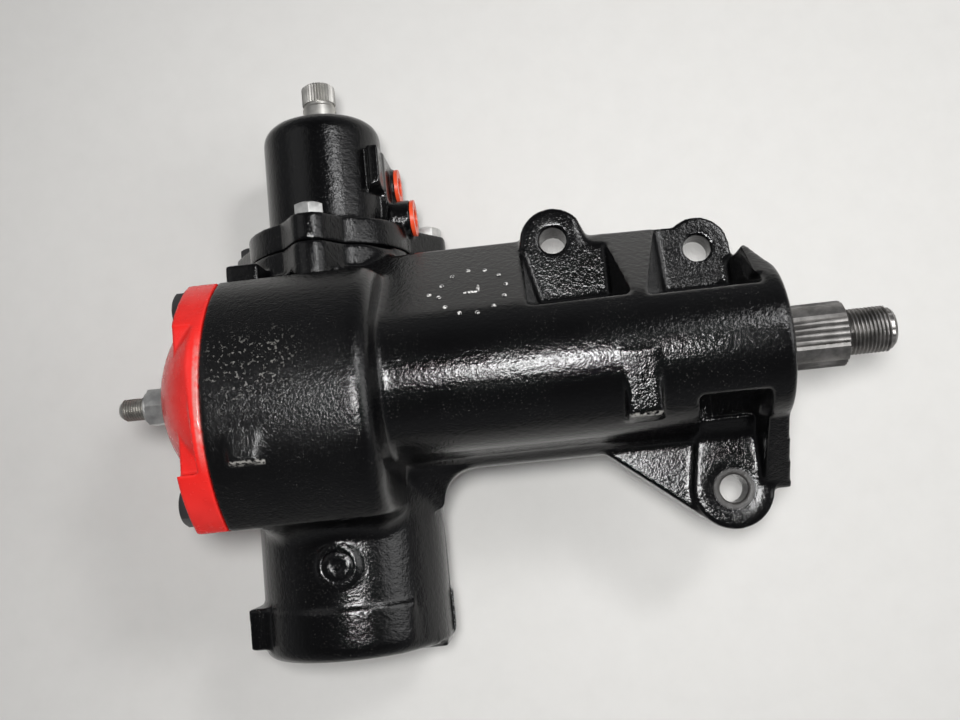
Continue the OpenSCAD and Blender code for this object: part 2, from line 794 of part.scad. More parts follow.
module sector_oil_seal() color("#26221f")
    lip_seal_x(seal_x - dust_seal_l - seal_l, seal_x - dust_seal_l, bearing_od / 2,
        journal_d / 2 + running);

module sector_dust_seal() color("#2b2724")
    lip_seal_x(seal_x - dust_seal_l, seal_x, bearing_od / 2, journal_d / 2 + running);

// Spring clip with a gap, seated in its bore
module snap_ring(outer, thick) {
    difference() {
        cylinder(r = outer, h = thick);
        translate([0, 0, -cut]) cylinder(r = outer - 2.6, h = thick + 2 * cut);
        translate([0, 0, -cut]) linear_extrude(thick + 2 * cut)
            polygon([[0, 0], [2 * outer, 0.35 * outer], [2 * outer, -0.35 * outer]]);
    }
}

module sector_snap_ring() color("#55565a")
    translate([seal_x, 0, 0]) rotate([0, 90, 0]) snap_ring(bearing_od / 2, clip_t);

module port_bosses(r, back) {
    for (i = [0, 1]) translate([0, port_y[i], port_z[i]]) rod_x(-bore_back + back, port_end[i], r);
}

module valve_housing() color("#141518") difference() {
    union() {
        at_bore() section_y(valve_joint, flange_y) flange_outline();
        at_bore() turned_y(concat([[0, valve_joint], [valve_r + 2, valve_joint], [valve_r + 2, flange_y],
            [valve_r, flange_y + 3], [valve_r, valve_top - 12]],
            arc([valve_r - 10, valve_top - 10], 10, 0, 90), [[0, valve_top]]));
        at_bore() rod_y(valve_joint - spigot_l, valve_joint + eps, spigot_r);
        port_bosses(port_r, 10);
        translate([-bore_back + 12, flange_y - 1, port_z[0] - 9]) cube([24, 45, 34]);
        translate([-bore_back + 20, flange_y + 8, -axis_drop + 8]) cube([15, 36, 16]);
    }
    at_bore() {
        rod_y(valve_joint - spigot_l - cut, worm_bearing_y, race_nut_r);
        rod_y(worm_bearing_y - cut, worm_bearing_top, worm_bearing_r);
        rod_y(worm_bearing_top - cut, needle_y, sleeve_r + running);
        rod_y(needle_y - cut, input_seal_y, needle_od / 2);
        rod_y(input_seal_y - cut, valve_top + cut, input_seal_r);
        translate([0, valve_joint - spigot_l / 2, 0]) ring_y(-1.5, 1.5, spigot_r + 1, spigot_r - 2.6);
    }
    for (i = [0, 1]) translate([0, port_y[i], port_z[i]]) {
        rod_x(port_end[i], port_end[i] + port_spot, port_r + bolt_gap);
        rod_x(port_end[i] - port_deep, port_end[i] + cut, port_d / 2);
        rod_x(port_end[i] - port_deep - seat_l, port_end[i], seat_d / 2);
        rod_x(-bore_back, port_end[i], passage_d / 2);
    }
    at_valve_bolts() rod_y(valve_joint - cut, flange_y + cut, valve_bolt_d / 2 + bolt_gap);
}

module valve_joint_seal() color("#1c1c1c")
    at_bore() translate([0, valve_joint - spigot_l / 2, 0]) rotate([-90, 0, 0]) rotate_extrude()
        translate([spigot_r - 1.3, 0]) circle(r = 1.25, $fn = 24);

module valve_bolts() color("#a3a5a6") at_valve_bolts() {
    rod_y(valve_joint - valve_bolt_deep, flange_y + eps, valve_bolt_d / 2);
    section_y(flange_y, flange_y + hex_h) hexagon(valve_bolt_af);
}

module bearing_race_nut() color("#77787a") at_bore() difference() {
    rod_y(valve_joint - spigot_l, worm_bearing_y, race_nut_r - bolt_gap);
    rod_y(valve_joint - spigot_l - cut, worm_bearing_y + cut, race_nut_hole_r);
    for (a = [0:90:270]) rotate([0, a, 0]) translate([24, valve_joint - spigot_l - cut, -3])
        cube([12, 4, 6]);
}

// Groove for the balls of the worm's bearing
module race_groove() {
    translate([0, worm_bearing_y + worm_bearing_l / 2, 0]) rotate([-90, 0, 0]) rotate_extrude()
        translate([race_circle_r, 0]) circle(r = race_ball_d / 2 + running);
}

module worm_bearing_outer() color("#8f9092") at_bore() difference() {
    ring_y(worm_bearing_y, worm_bearing_top, worm_bearing_r, worm_bearing_r - race_t);
    race_groove();
}

module worm_bearing_inner() color("#8f9092") at_bore() difference() {
    ring_y(worm_bearing_y, worm_bearing_top, worm_seat_d / 2 + race_t, worm_seat_d / 2);
    race_groove();
}

module worm_bearing_balls() color("#d0d1d3") at_bore()
    for (i = [0:11]) rotate([0, 30 * i, 0])
        translate([race_circle_r, worm_bearing_y + worm_bearing_l / 2, 0]) sphere(d = race_ball_d);

module worm() color("#8a8986") at_bore() difference() {
    union() {
        track(-worm_low, worm_thread_high, worm_r, -1);
        turned_y([[0, worm_thread_high - eps], [worm_r, worm_thread_high - eps],
            [worm_seat_d / 2, worm_thread_high + 3], [worm_seat_d / 2, worm_bearing_y - 5],
            [15.5, worm_bearing_y - 5], [15.5, worm_bearing_y], [worm_seat_d / 2, worm_bearing_y],
            [worm_seat_d / 2, worm_bearing_top], [sleeve_r - 0.6, worm_bearing_top],
            [sleeve_r - 0.6, sleeve_y], [0, sleeve_y]]);
    }
    rod_y(bar_low, sleeve_y + cut, bar_d / 2 + running);
    translate([0, pin_low_y, 0]) rotate([0, 90, 0]) cylinder(d = pin_d, h = 60, center = true);
}

module piston() color("#7d7c79") at_bore() difference() {
    rod_y(-piston_low, piston_high, piston_r);
    translate([-bore_d, rack_low, rack_tip]) cube([2 * bore_d, piston_high - rack_low + cut, bore_d]);
    for (i = [-1:1]) section_x(-bore_d, bore_d) translate([i * rack_step, rack_line]) rack_space();
    track(nut_low, nut_high, nut_r, 1);
    rod_y(-worm_room, nut_low + eps, nut_r);
    rod_y(nut_high - eps, piston_high + cut, nut_r);
    rod_y(-piston_low - cut, -piston_low + piston_plug_h, piston_plug_r);
    ring_y(ring_y, ring_y + ring_w, piston_r + cut, piston_r - ring_t);
    for (i = [0, 1]) at_circuit(i) {
        translate([-guide_span / 2 - guide_r - guide_gap, -guide_r - guide_gap, -bore_d])
            cube([guide_span + 2 * (guide_r + guide_gap), 2 * (guide_r + guide_gap), bore_d - guide_leg]);
        for (side = [-1, 1]) translate([side * guide_span / 2, 0, -guide_leg - cut])
            cylinder(r = guide_r + guide_gap / 2, h = guide_leg + cut);
    }
    translate([-clamp_w, nut_low - clamp_end - cut, -bore_d])
        cube([2 * clamp_w, nut_high - nut_low + 2 * (clamp_end + cut), bore_d - clamp_flat]);
    at_clamp_screws() translate([0, 0, -clamp_flat - cut])
        cylinder(d = clamp_screw_d, h = clamp_screw_l + 2 * cut);
}

// Places its children at the return guide of one ball circuit
module at_circuit(i) {
    translate([0, circuit_low + circuit_l / 2 + i * (circuit_l + circuit_gap), 0])
        rotate([0, 0, guide_turn]) children();
}

// Places its children at each screw of the guides' clamp
module at_clamp_screws() {
    for (y = [nut_low - 1, nut_high + 1]) translate([0, y, 0]) children();
}

module piston_ring() color("#3a3530") at_bore()
    ring_y(ring_y + 0.1, ring_y + ring_w - 0.1, piston_r, piston_r - ring_t + 0.2);

module piston_plug() color("#8a8986") at_bore() difference() {
    rod_y(-piston_low, -piston_low + piston_plug_h, piston_plug_r - bolt_gap);
    section_y(-piston_low - cut, -piston_low + 5) hexagon(12);
}

module bearing_balls() color("#d0d1d3") at_bore()
    for (i = [0, 1], k = [0:circuit_balls - 1])
        let (s = circuit_low + i * (circuit_l + circuit_gap) + (k + 0.5) * circuit_l / circuit_balls)
        let (a = 360 * s / lead)
        translate([ball_circle_r * cos(a), s, -ball_circle_r * sin(a)]) sphere(d = ball_d);

module ball_guides() color("#b9b6ac") at_bore() for (i = [0, 1]) at_circuit(i) difference() {
    return_tube(guide_r);
    return_tube(ball_d / 2 + 0.3);
}

// Two legs and the bend of a ball return tube
module return_tube(r) {
    for (side = [-1, 1]) translate([side * guide_span / 2, 0, -guide_leg])
        cylinder(r = r, h = guide_leg - nut_r * 0.72);
    translate([0, 0, -guide_leg]) rotate([90, 0, 0]) rotate([0, 0, 180])
        rotate_extrude(angle = 180) translate([guide_span / 2, 0]) circle(r = r);
}

module guide_clamp() color("#9fa0a2") at_bore() difference() {
    translate([-clamp_w / 2, nut_low - clamp_end, -clamp_flat - clamp_t])
        cube([clamp_w, nut_high - nut_low + 2 * clamp_end, clamp_t]);
    at_clamp_screws() translate([0, 0, -bore_d]) cylinder(d = clamp_screw_d, h = bore_d);
}

module guide_screws() color("#6f7072") at_bore() at_clamp_screws()
    translate([0, 0, -clamp_flat - clamp_t]) cylinder(d = clamp_screw_d, h = clamp_t + clamp_screw_l);

module valve_sleeve() color("#8a8986") at_bore() difference() {
    ring_y(sleeve_y, sleeve_top, sleeve_r, spool_r + running);
    for (y = sleeve_ring_y) ring_y(y, y + 2.4, sleeve_r + 1, sleeve_r - 2);
    for (k = [0:2], a = [0:90:270]) rotate([0, a + 30 * k, 0])
        translate([0, sleeve_y + 8 + sleeve_pitch * k, 0]) cylinder(d = 4.5, h = sleeve_r + 1);
}

module sleeve_rings() color("#4a453e") at_bore()
    for (y = sleeve_ring_y) ring_y(y + 0.1, y + 2.3, sleeve_r, sleeve_r - 1.8);

module torsion_bar() color("#6c6e70") at_bore() difference() {
    turned_y([[0, bar_low + 1], [bar_d / 2, bar_low + 1], [bar_d / 2, sleeve_y],
        [bar_d / 2 - bar_waist, sleeve_y + 4], [bar_d / 2 - bar_waist, pin_high_y - 10],
        [bar_d / 2, pin_high_y - 6], [bar_d / 2, pin_high_y + 8], [0, pin_high_y + 8]]);
    translate([0, pin_low_y, 0]) rotate([0, 90, 0]) cylinder(d = pin_d, h = 60, center = true);
    translate([0, pin_high_y, 0]) rotate([0, 90, 0]) cylinder(d = pin_d + 1, h = 60, center = true);
}

module torsion_pin_low() color("#b9b6ac") at_bore()
    translate([0, pin_low_y, 0]) rotate([0, 90, 0]) cylinder(d = pin_d, h = worm_seat_d - 2, center = true);

module torsion_pin_high() color("#b9b6ac") at_bore()
    translate([0, pin_high_y, 0]) rotate([0, 90, 0]) cylinder(d = pin_d, h = input_d - 2, center = true);

module input_shaft() color("#a5a39e") at_bore() difference() {
    neck = input_tip - serration_l;
    union() {
        turned_y([[0, sleeve_y + 1], [spool_r, sleeve_y + 1], [spool_r, sleeve_top - 1],
            [shaft_d / 2, sleeve_top], [shaft_d / 2, valve_top + 3], [input_d / 2, valve_top + 6],
            [input_d / 2, neck - 2.5], [input_d / 2 - 1, neck - 1.5], [input_d / 2 - 1, neck], [0, neck]]);
        section_y(neck, input_tip - 1) serration(input_d / 2, serration_teeth, serration_deep);
        turned_y([[0, input_tip - 1], [input_d / 2 - serration_deep - root_gap, input_tip - 1],
            [input_d / 2 - 1.5, input_tip], [0, input_tip]]);
    }
    rod_y(sleeve_y, pin_high_y + 9, bar_d / 2 + 0.3);
    translate([0, pin_high_y, 0]) rotate([0, 90, 0]) cylinder(d = pin_d, h = 60, center = true);
    for (a = [0:60:300]) rotate([0, a, 0])
        translate([spool_r, sleeve_y + 6, 0]) rotate([-90, 0, 0]) cylinder(d = 5, h = sleeve_l - 12);
}

module input_bearing() color("#8f9092") at_bore()
    ring_y(needle_y, input_seal_y, needle_od / 2, shaft_d / 2 + running);

module input_seal() color("#26221f") at_bore() difference() {
    ring_y(input_seal_y, input_clip_y, input_seal_r, shaft_d / 2 + running);
    ring_y(input_seal_y - cut, input_seal_y + 2.5, input_seal_r - 1.5, shaft_d / 2 + 2);
}

module input_snap_ring() color("#55565a") at_bore()
    translate([0, input_clip_y, 0]) rotate([-90, 0, 0]) snap_ring(input_seal_r, clip_t);

// Tube seat at the bottom of a port
module tube_seat(i) {
    bottom = port_end[i] - port_deep - seat_l;
    translate([0, port_y[i], port_z[i]]) difference() {
        turned_x([[0, bottom], [seat_d / 2, bottom], [seat_d / 2, bottom + seat_l],
            [4, bottom + seat_l + 3], [0, bottom + seat_l + 3]]);
        rod_x(bottom - cut, bottom + seat_l + 4, passage_d / 2 - 1);
    }
}

// Shipping plug, pushed into a port
module port_plug(i) {
    end = port_end[i];
    translate([0, port_y[i], port_z[i]]) difference() {
        turned_x([[0, end - 9], [port_d / 2 - 1, end - 9], [port_d / 2 - bolt_gap, end - 7],
            [port_d / 2 - bolt_gap, end], [port_r - 0.3, end], [port_r - 0.3, end + plug_rim_t],
            [0, end + plug_rim_t]]);
        rod_x(end - 6, end + plug_rim_t + cut, port_d / 2 - 2.5);
    }
}

module pressure_seat() color("#b08d57") tube_seat(0);
module return_seat() color("#b08d57") tube_seat(1);
module pressure_plug() color("#d8421f") port_plug(0);
module return_plug() color("#d8421f") port_plug(1);

housing();
sector_shaft();
sector_cover();
cover_bolts();
cover_bush();
cover_seal();
adjuster_screw();
adjuster_shim();
adjuster_locknut();
inner_bearing_shell();
inner_bearing_rollers();
outer_bearing_shell();
outer_bearing_rollers();
sector_oil_seal();
sector_dust_seal();
sector_snap_ring();
valve_housing();
valve_bolts();
valve_joint_seal();
bearing_race_nut();
worm_bearing_outer();
worm_bearing_balls();
worm_bearing_inner();
worm();
piston();
piston_ring();
piston_plug();
bearing_balls();
ball_guides();
guide_clamp();
guide_screws();
valve_sleeve();
sleeve_rings();
torsion_bar();
torsion_pin_low();
torsion_pin_high();
input_shaft();
input_bearing();
input_seal();
input_snap_ring();
pressure_seat();
return_seat();
pressure_plug();
return_plug();
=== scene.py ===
# %% [markdown]
# A steering gearbox, dressed over its solid model
#
# The solid model brings every piece of the gearbox at its true size and place. This lesson
# turns it into a picture: the castings get rounded edges and sprayed paint, the threaded ends
# get real threads, and the bolts get the chamfers that a wrench finds on them. Everything is in
# metres. X runs along the output shaft, Y along the input shaft, Z to the viewer.

# %% Load the solid model
import json
import math

import bpy
from mathutils import Matrix, Vector


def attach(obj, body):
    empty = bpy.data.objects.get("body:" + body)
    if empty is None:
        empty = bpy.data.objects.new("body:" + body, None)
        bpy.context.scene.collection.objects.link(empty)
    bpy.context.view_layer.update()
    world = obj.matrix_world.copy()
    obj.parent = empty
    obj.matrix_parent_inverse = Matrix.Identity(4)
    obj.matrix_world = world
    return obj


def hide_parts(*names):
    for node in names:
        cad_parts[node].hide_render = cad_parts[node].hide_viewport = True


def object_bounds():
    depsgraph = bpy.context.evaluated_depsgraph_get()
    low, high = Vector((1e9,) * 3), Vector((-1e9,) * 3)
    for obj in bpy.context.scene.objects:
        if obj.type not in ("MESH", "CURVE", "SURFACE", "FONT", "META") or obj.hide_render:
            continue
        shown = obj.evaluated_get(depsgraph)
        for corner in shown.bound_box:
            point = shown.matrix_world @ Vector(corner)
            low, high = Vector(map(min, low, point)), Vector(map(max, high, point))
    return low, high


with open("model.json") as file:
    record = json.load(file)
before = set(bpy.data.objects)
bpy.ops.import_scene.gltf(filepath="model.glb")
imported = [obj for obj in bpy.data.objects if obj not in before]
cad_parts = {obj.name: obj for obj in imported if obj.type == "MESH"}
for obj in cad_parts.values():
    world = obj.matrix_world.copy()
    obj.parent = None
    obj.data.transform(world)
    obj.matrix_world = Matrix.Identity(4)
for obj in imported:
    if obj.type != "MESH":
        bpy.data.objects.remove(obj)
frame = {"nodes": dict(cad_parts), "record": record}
nodes = frame["nodes"]
cad_box = [list(corner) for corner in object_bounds()]
print("loaded", len(nodes), "nodes, box", [[round(v, 3) for v in corner] for corner in cad_box])

# %% [markdown]
# The camera stands about half a metre over the gearbox, a little to the left of its middle, and
# is turned so that the output shaft runs uphill to the right. Its directions were worked out
# from the straight lines of the object, so they are written as they are and not as angles.

# %% Camera
scene = bpy.context.scene
scene.view_settings.view_transform = "Standard"
camera_at = Vector((-0.14515, -0.05585, 0.47299))
camera_right = Vector((0.99205, -0.09996, -0.07643))
camera_up = Vector((0.10882, 0.98651, 0.12229))
camera_data = bpy.data.cameras.new("camera")
camera_data.sensor_width = 36.0
camera_data.lens = 36.41
camera_data.clip_start = 0.01
camera = bpy.data.objects.new("camera", camera_data)
scene.collection.objects.link(camera)
axes = Matrix((camera_right, camera_up, camera_right.cross(camera_up))).transposed()
camera.matrix_world = Matrix.Translation(camera_at) @ axes.to_4x4()
scene.camera = camera
print("camera", [round(v, 3) for v in camera_at])

# %% [markdown]
# A few helpers are used all the way through. The first leaves a single object selected, because
# an operator works on everything that is selected. The next adds a modifier, sets it and applies
# it, so that the finished mesh holds the shape by itself. The others open an object with some of
# its points selected, write its place into its mesh, join objects, and copy a node's mesh.

# %% Helpers for objects
def alone(obj):
    if bpy.context.mode != "OBJECT":
        bpy.ops.object.mode_set(mode="OBJECT")
    bpy.ops.object.select_all(action="DESELECT")
    obj.select_set(True)
    bpy.context.view_layer.objects.active = obj
    return obj


def apply_modifier(obj, kind, **settings):
    alone(obj)
    modifier = obj.modifiers.new(kind.lower(), kind)
    for name, value in settings.items():
        setattr(modifier, name, value)
    bpy.ops.object.modifier_apply(modifier=modifier.name)
    return obj


def edit(obj, choose=None):
    alone(obj)
    bpy.ops.object.mode_set(mode="EDIT")
    bpy.ops.mesh.select_mode(type="VERT")
    bpy.ops.mesh.select_all(action="DESELECT" if choose else "SELECT")
    if choose:
        bpy.ops.object.mode_set(mode="OBJECT")
        for vertex in obj.data.vertices:
            vertex.select = choose(vertex.co)
        bpy.ops.object.mode_set(mode="EDIT")


def done(obj, smooth_angle=35):
    alone(obj)
    bpy.ops.object.transform_apply(location=True, rotation=True, scale=True)
    bpy.ops.object.shade_smooth_by_angle(angle=math.radians(smooth_angle))
    return obj


def join(name, *objs):
    alone(objs[0])
    for obj in objs[1:]:
        obj.select_set(True)
    bpy.ops.object.join()
    bpy.ops.object.transform_apply(location=True, rotation=True, scale=True)
    objs[0].name = objs[0].data.name = name
    return objs[0]


def copy_of(node, name):
    obj = bpy.data.objects.new(name, nodes[node].data.copy())
    scene.collection.objects.link(obj)
    edit(obj)
    bpy.ops.mesh.remove_doubles(threshold=1e-6)
    bpy.ops.object.mode_set(mode="OBJECT")
    return obj


print("object helpers ready")

# %% [markdown]
# A finish is a small tree of shader nodes. It could be wired by hand, node by node, but writing
# the sums as Python keeps it readable: a Wire wraps one socket, and adding or multiplying wires
# adds the Math nodes. A Finish holds the shader and makes any other node from its type, its
# settings and its inputs.

# %% Helpers for finishes
class Wire:
    def __init__(self, finish, socket):
        self.finish, self.socket = finish, socket

    def math(self, operation, other):
        return self.finish.node("ShaderNodeMath", {"operation": operation}, {0: self, 1: other})

    def __add__(self, other):
        return self.math("ADD", other)

    __radd__ = __add__

    def __sub__(self, other):
        return self.math("SUBTRACT", other)

    def __rsub__(self, other):
        return self.finish.node("ShaderNodeMath", {"operation": "SUBTRACT"}, {0: other, 1: self})

    def __mul__(self, other):
        return self.math("MULTIPLY", other)

    __rmul__ = __mul__

    def above(self, low, high):
        settings = {"interpolation_type": "SMOOTHSTEP"}
        inputs = {"Value": self, "From Min": low, "From Max": high}
        return self.finish.node("ShaderNodeMapRange", settings, inputs)

    def between(self, low, full, still, high):
        return self.above(low, full) * (1 - self.above(still, high))


class Finish:
    def __init__(self, name, **sockets):
        self.material = bpy.data.materials.new(name)
        self.material.use_nodes = True
        self.tree = self.material.node_tree
        self.shader = self.tree.nodes["Principled BSDF"]
        self.place = self.node("ShaderNodeTexCoord", {}, {}, "Object")
        self.feed(**sockets)

    def node(self, kind, settings, inputs, output=0):
        made = self.tree.nodes.new(kind)
        for name, value in settings.items():
            setattr(made, name, value)
        for name, value in inputs.items():
            self.plug(made.inputs[name], value)
        return Wire(self, made.outputs[output])

    def plug(self, socket, value):
        if isinstance(value, Wire):
            self.tree.links.new(value.socket, socket)
        elif socket.type == "RGBA":
            socket.default_value = (*value, 1.0)
        else:
            socket.default_value = value

    def feed(self, **sockets):
        for name, value in sockets.items():
            self.plug(self.shader.inputs[name.replace("_", " ").title().replace("Ior", "IOR")], value)

    def noise(self, scale, detail=2.0, roughness=0.5, stretch=None):
        place = self.place
        if stretch:
            place = self.node("ShaderNodeMapping", {}, {"Vector": place, "Scale": stretch})
        inputs = {"Vector": place, "Scale": scale, "Detail": detail, "Roughness": roughness}
        return self.node("ShaderNodeTexNoise", {}, inputs)

    def blend(self, share, low, high):
        inputs = {"Factor": share, 6: low, 7: high}
        return self.node("ShaderNodeMix", {"data_type": "RGBA"}, inputs, 2)

    def along(self, axis):
        return self.node("ShaderNodeSeparateXYZ", {}, {0: self.place}, axis)

    def bump(self, height, distance, strength=1.0):
        inputs = {"Height": height, "Distance": distance, "Strength": strength}
        self.feed(normal=self.node("ShaderNodeBump", {}, inputs))


print("finish helpers ready")

# %% [markdown]
# The housing is sand-cast iron under sprayed gloss black. The sand leaves lumps of a millimetre
# or two and a finer grain on them, and the paint follows both, so a highlight breaks up into
# sparkles. The chamber was rubbed near the cover and the bolt seat of the lower lug was faced with
# a cutter. The lower edges of two cast pads are lightened, partly as wear and partly as a painted
# highlight. Painted textures could show this, but masks made from the place on the object need no
# unwrapping and stay put on a rebuilt mesh.

# %% Gloss black over cast iron
lower_lug = Vector((-0.057, -0.069, 0))


def cast_black():
    finish = Finish("gloss_black_casting", specular_ior_level=0.36)
    x, y, z = finish.along("X"), finish.along("Y"), finish.along("Z")
    grain, lumps = finish.noise(1150.0, 2.0, 0.6), finish.noise(430.0, 2.0)
    swell = finish.noise(34.0, 2.0)
    chamber = (1 - x.above(-0.236, -0.224)) * z.above(0.025, 0.04)
    rubbed = x.between(-0.299, -0.29, -0.268, -0.245) * y.between(-0.02, 0.004, 0.014, 0.03)
    scuffs = finish.noise(560.0, 3.0, 0.6).above(0.58, 0.66) * rubbed * z.above(0.03, 0.042)
    away_x, away_y = x - lower_lug.x, y - lower_lug.y
    faced = 1 - (away_x * away_x + away_y * away_y).above(0.00008, 0.00012)
    faced = faced * z.between(-0.0242, -0.0234, -0.0214, -0.0206)
    pad_edge = x.between(-0.2893, -0.2885, -0.2728, -0.2722) * y.between(-0.0362, -0.0352, -0.0342, -0.0332)
    lip_edge = x.between(-0.1095, -0.1085, -0.0928, -0.092) * y.between(-0.0325, -0.0315, -0.0305, -0.0295)
    edges = pad_edge * z.above(0.044, 0.046) + lip_edge * z.above(0.03, 0.032)
    # Pad edges are lightened: partly wear, partly a painted highlight.
    edge_wear_and_highlight = edges * finish.noise(600.0, 3.0).above(0.42, 0.56)
    dust = finish.noise(1900.0, 1.0).above(0.7, 0.76) * swell.above(0.45, 0.6)
    colour = finish.blend(swell, (0.0012, 0.0012, 0.0014), (0.0024, 0.0024, 0.0026))
    colour = finish.blend(scuffs * 0.4 + edge_wear_and_highlight * 0.8 + dust * 0.25, colour, (0.3, 0.29, 0.27))
    finish.feed(base_color=finish.blend(faced * 0.38, colour, (0.1, 0.095, 0.09)))
    finish.feed(roughness=swell * 0.12 + scuffs * 0.35 + faced * 0.25 + chamber * 0.08 + 0.1)
    finish.bump(grain * (chamber * 0.5 + 0.55) + lumps * 0.75, 0.00026)
    return finish.material


finishes = {"black_paint": cast_black()}
print("black paint has", len(finishes["black_paint"].node_tree.nodes), "nodes")

# %% [markdown]
# The small studs of the ring on the web stand proud and catch the lamp near the camera. Their
# finish is painted pale in spots, as painted highlights, with black left round them. One more mask
# in the black paint could do it, but the studs are a piece of their own, so a small finish of their
# own is simpler.

# %% Painted highlights on the cast studs
def painted_highlight_studs():
    finish = Finish("painted_highlight_stud_tops", roughness=0.3)
    # Pale spots are painted highlights of the lamp on the studs.
    highlight_spots = finish.noise(900.0, 2.0).above(0.42, 0.6)
    finish.feed(base_color=finish.blend(highlight_spots, (0.03, 0.03, 0.03), (0.62, 0.61, 0.59)))
    finish.bump(highlight_spots, 0.00005)
    return finish.material


stud_highlight_finish = painted_highlight_studs()
print("stud tops have", len(stud_highlight_finish.node_tree.nodes), "nodes")

# %% [markdown]
# The cover is the same kind of casting in red. Its paint lies thicker, so the grain is softer,
# and the red darkens a little in patches where the spray did not reach well. At the joint the
# edge that faces the viewer is partly rubbed bare and partly carries a painted highlight of the
# lamp near the camera, so a mask lets a pale grey through there.

# %% Red cover paint
def cover_red():
    finish = Finish("red_cover_paint", specular_ior_level=0.5)
    lumps, swell = finish.noise(300.0, 2.0), finish.noise(45.0, 2.0)
    # The joint edge facing the viewer is partly bare metal and partly a painted highlight.
    bare_edge_and_highlight = finish.along("X").above(-0.3026, -0.3014) * finish.along("Z").above(0.03, 0.05)
    bare_edge_and_highlight = bare_edge_and_highlight * finish.along("Y").between(-0.04, -0.015, 0.012, 0.03)
    red = finish.blend(swell.above(0.3, 0.7), (0.6, 0.015, 0.012), (0.7, 0.022, 0.018))
    bare_and_highlight_share = bare_edge_and_highlight * lumps.above(0.2, 0.6) * 0.5
    finish.feed(base_color=finish.blend(bare_and_highlight_share, red, (0.42, 0.33, 0.3)))
    finish.feed(roughness=lumps * 0.15 + 0.18)
    finish.bump(lumps, 0.0002, 0.6)
    return finish.material


finishes["red_paint"] = cover_red()
print("red paint has", len(finishes["red_paint"].node_tree.nodes), "nodes")

# %% [markdown]
# Bare metals share one recipe. A turned part shows fine rings, so the noise is stretched across
# the axis, and a plated part shows a soft clouding instead. Only colour, gloss and stretch differ,
# so one function with a few numbers keeps the metals alike. The output shaft is worn, so it gets a
# darker steel than the others.

# %% Bare and plated metals
def metal(name, dark, pale, gloss, cloud, stretch=None, marks=0.00004):
    finish = Finish(name, metallic=1.0)
    tone = finish.noise(cloud, 3.0, 0.6)
    rings = finish.noise(900.0, 2.0, 0.5, stretch)
    finish.feed(base_color=finish.blend(tone.above(0.3, 0.7), dark, pale))
    finish.feed(roughness=tone * 0.18 + rings * 0.1 + gloss)
    finish.bump(rings, marks, 0.7)
    return finish.material


about_x, about_y = (3.0, 0.3, 0.3), (0.3, 3.0, 0.3)
finishes.update({
    "zinc": metal("zinc_plate", (0.52, 0.52, 0.51), (0.74, 0.74, 0.72), 0.3, 160.0),
    "shaft_steel": metal("bare_shaft_steel", (0.4, 0.39, 0.37), (0.56, 0.55, 0.52), 0.3, 120.0, about_x),
    "gear_steel": metal("oiled_gear_steel", (0.22, 0.215, 0.21), (0.36, 0.35, 0.34), 0.24, 90.0, about_y),
    "race_steel": metal("ground_race_steel", (0.42, 0.42, 0.43), (0.55, 0.55, 0.56), 0.16, 140.0),
    "ball_steel": metal("polished_ball_steel", (0.66, 0.66, 0.68), (0.76, 0.76, 0.78), 0.06, 140.0, marks=0.00001),
    "bronze": metal("plain_bronze", (0.4, 0.26, 0.11), (0.56, 0.39, 0.18), 0.25, 150.0),
})
worn_steel = metal("worn_shaft_steel", (0.16, 0.155, 0.15), (0.31, 0.3, 0.29), 0.3, 120.0, about_x)
print("finishes so far", len(finishes))

# %% [markdown]
# Rubber, filled polymer, moulded plastic and bolt paint are not metals. Their colour hardly
# changes, so most of their look is in how dull they are and in a very fine grain. With these the
# list is full, and every node of the solid model gets the finish of its slot.

# %% Rubber, plastics and bolt paint
def dull(name, dark, pale, gloss, grain):
    finish = Finish(name)
    cloud = finish.noise(120.0, 2.0)
    speck = finish.noise(1500.0, 2.0)
    finish.feed(base_color=finish.blend(cloud, dark, pale), roughness=speck * 0.15 + gloss)
    finish.bump(speck, grain, 0.6)
    return finish.material


finishes.update({
    "black_steel": dull("black_bolt_paint", (0.012, 0.012, 0.013), (0.03, 0.03, 0.031), 0.3, 0.00006),
    "rubber": dull("seal_rubber", (0.012, 0.012, 0.012), (0.028, 0.027, 0.026), 0.55, 0.00006),
    "ring_polymer": dull("filled_ring_polymer", (0.05, 0.04, 0.032), (0.08, 0.065, 0.052), 0.45, 0.00004),
    "plug_plastic": dull("orange_plug_plastic", (0.62, 0.055, 0.016), (0.78, 0.085, 0.028), 0.25, 0.00003),
})
for entry in frame["record"]["subparts"]:
    mesh = nodes[entry["node"]].data
    mesh.materials.clear()
    mesh.materials.append(finishes[entry["material_slot"]])
print("finishes", len(finishes))

# %% [markdown]
# Every piece that is modelled here rides on a body of the solid model, so that it moves with it,
# and names its finish. A piece that stands for a node says so, and the node is then hidden.

# %% Dressing a piece
def dress(obj, body, slot, *replaced):
    obj.data.materials.clear()
    obj.data.materials.append(finishes[slot])
    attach(obj, body)
    if replaced:
        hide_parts(*replaced)
    print(obj.name, len(obj.data.polygons), "faces on", body)


print("nodes to dress or to leave as they are", len(nodes))

# %% [markdown]
# A casting has no sharp edge: the sand rounds every corner and fills every inside corner. Bevels
# on hundreds of crossing edges would fail here, so a copy of the sharp solid is rebuilt as an even
# skin of small faces and then smoothed, which rounds the edges by two or three millimetres.
# Machined places, such as holes and joint faces, are kept out of the smoothing so that they stay
# crisp and still fit. A second smoothing can work on some places much longer than on others.

# %% Rounded castings
blend_rounds = 45


def soften(obj, rounds, share):
    group = obj.vertex_groups.new(name="soft")
    for vertex in obj.data.vertices:
        weight = share(vertex.co)
        if weight > 0:
            group.add([vertex.index], min(1.0, weight), "REPLACE")
    apply_modifier(obj, "SMOOTH", factor=0.5, iterations=rounds, vertex_group="soft")
    obj.vertex_groups.clear()


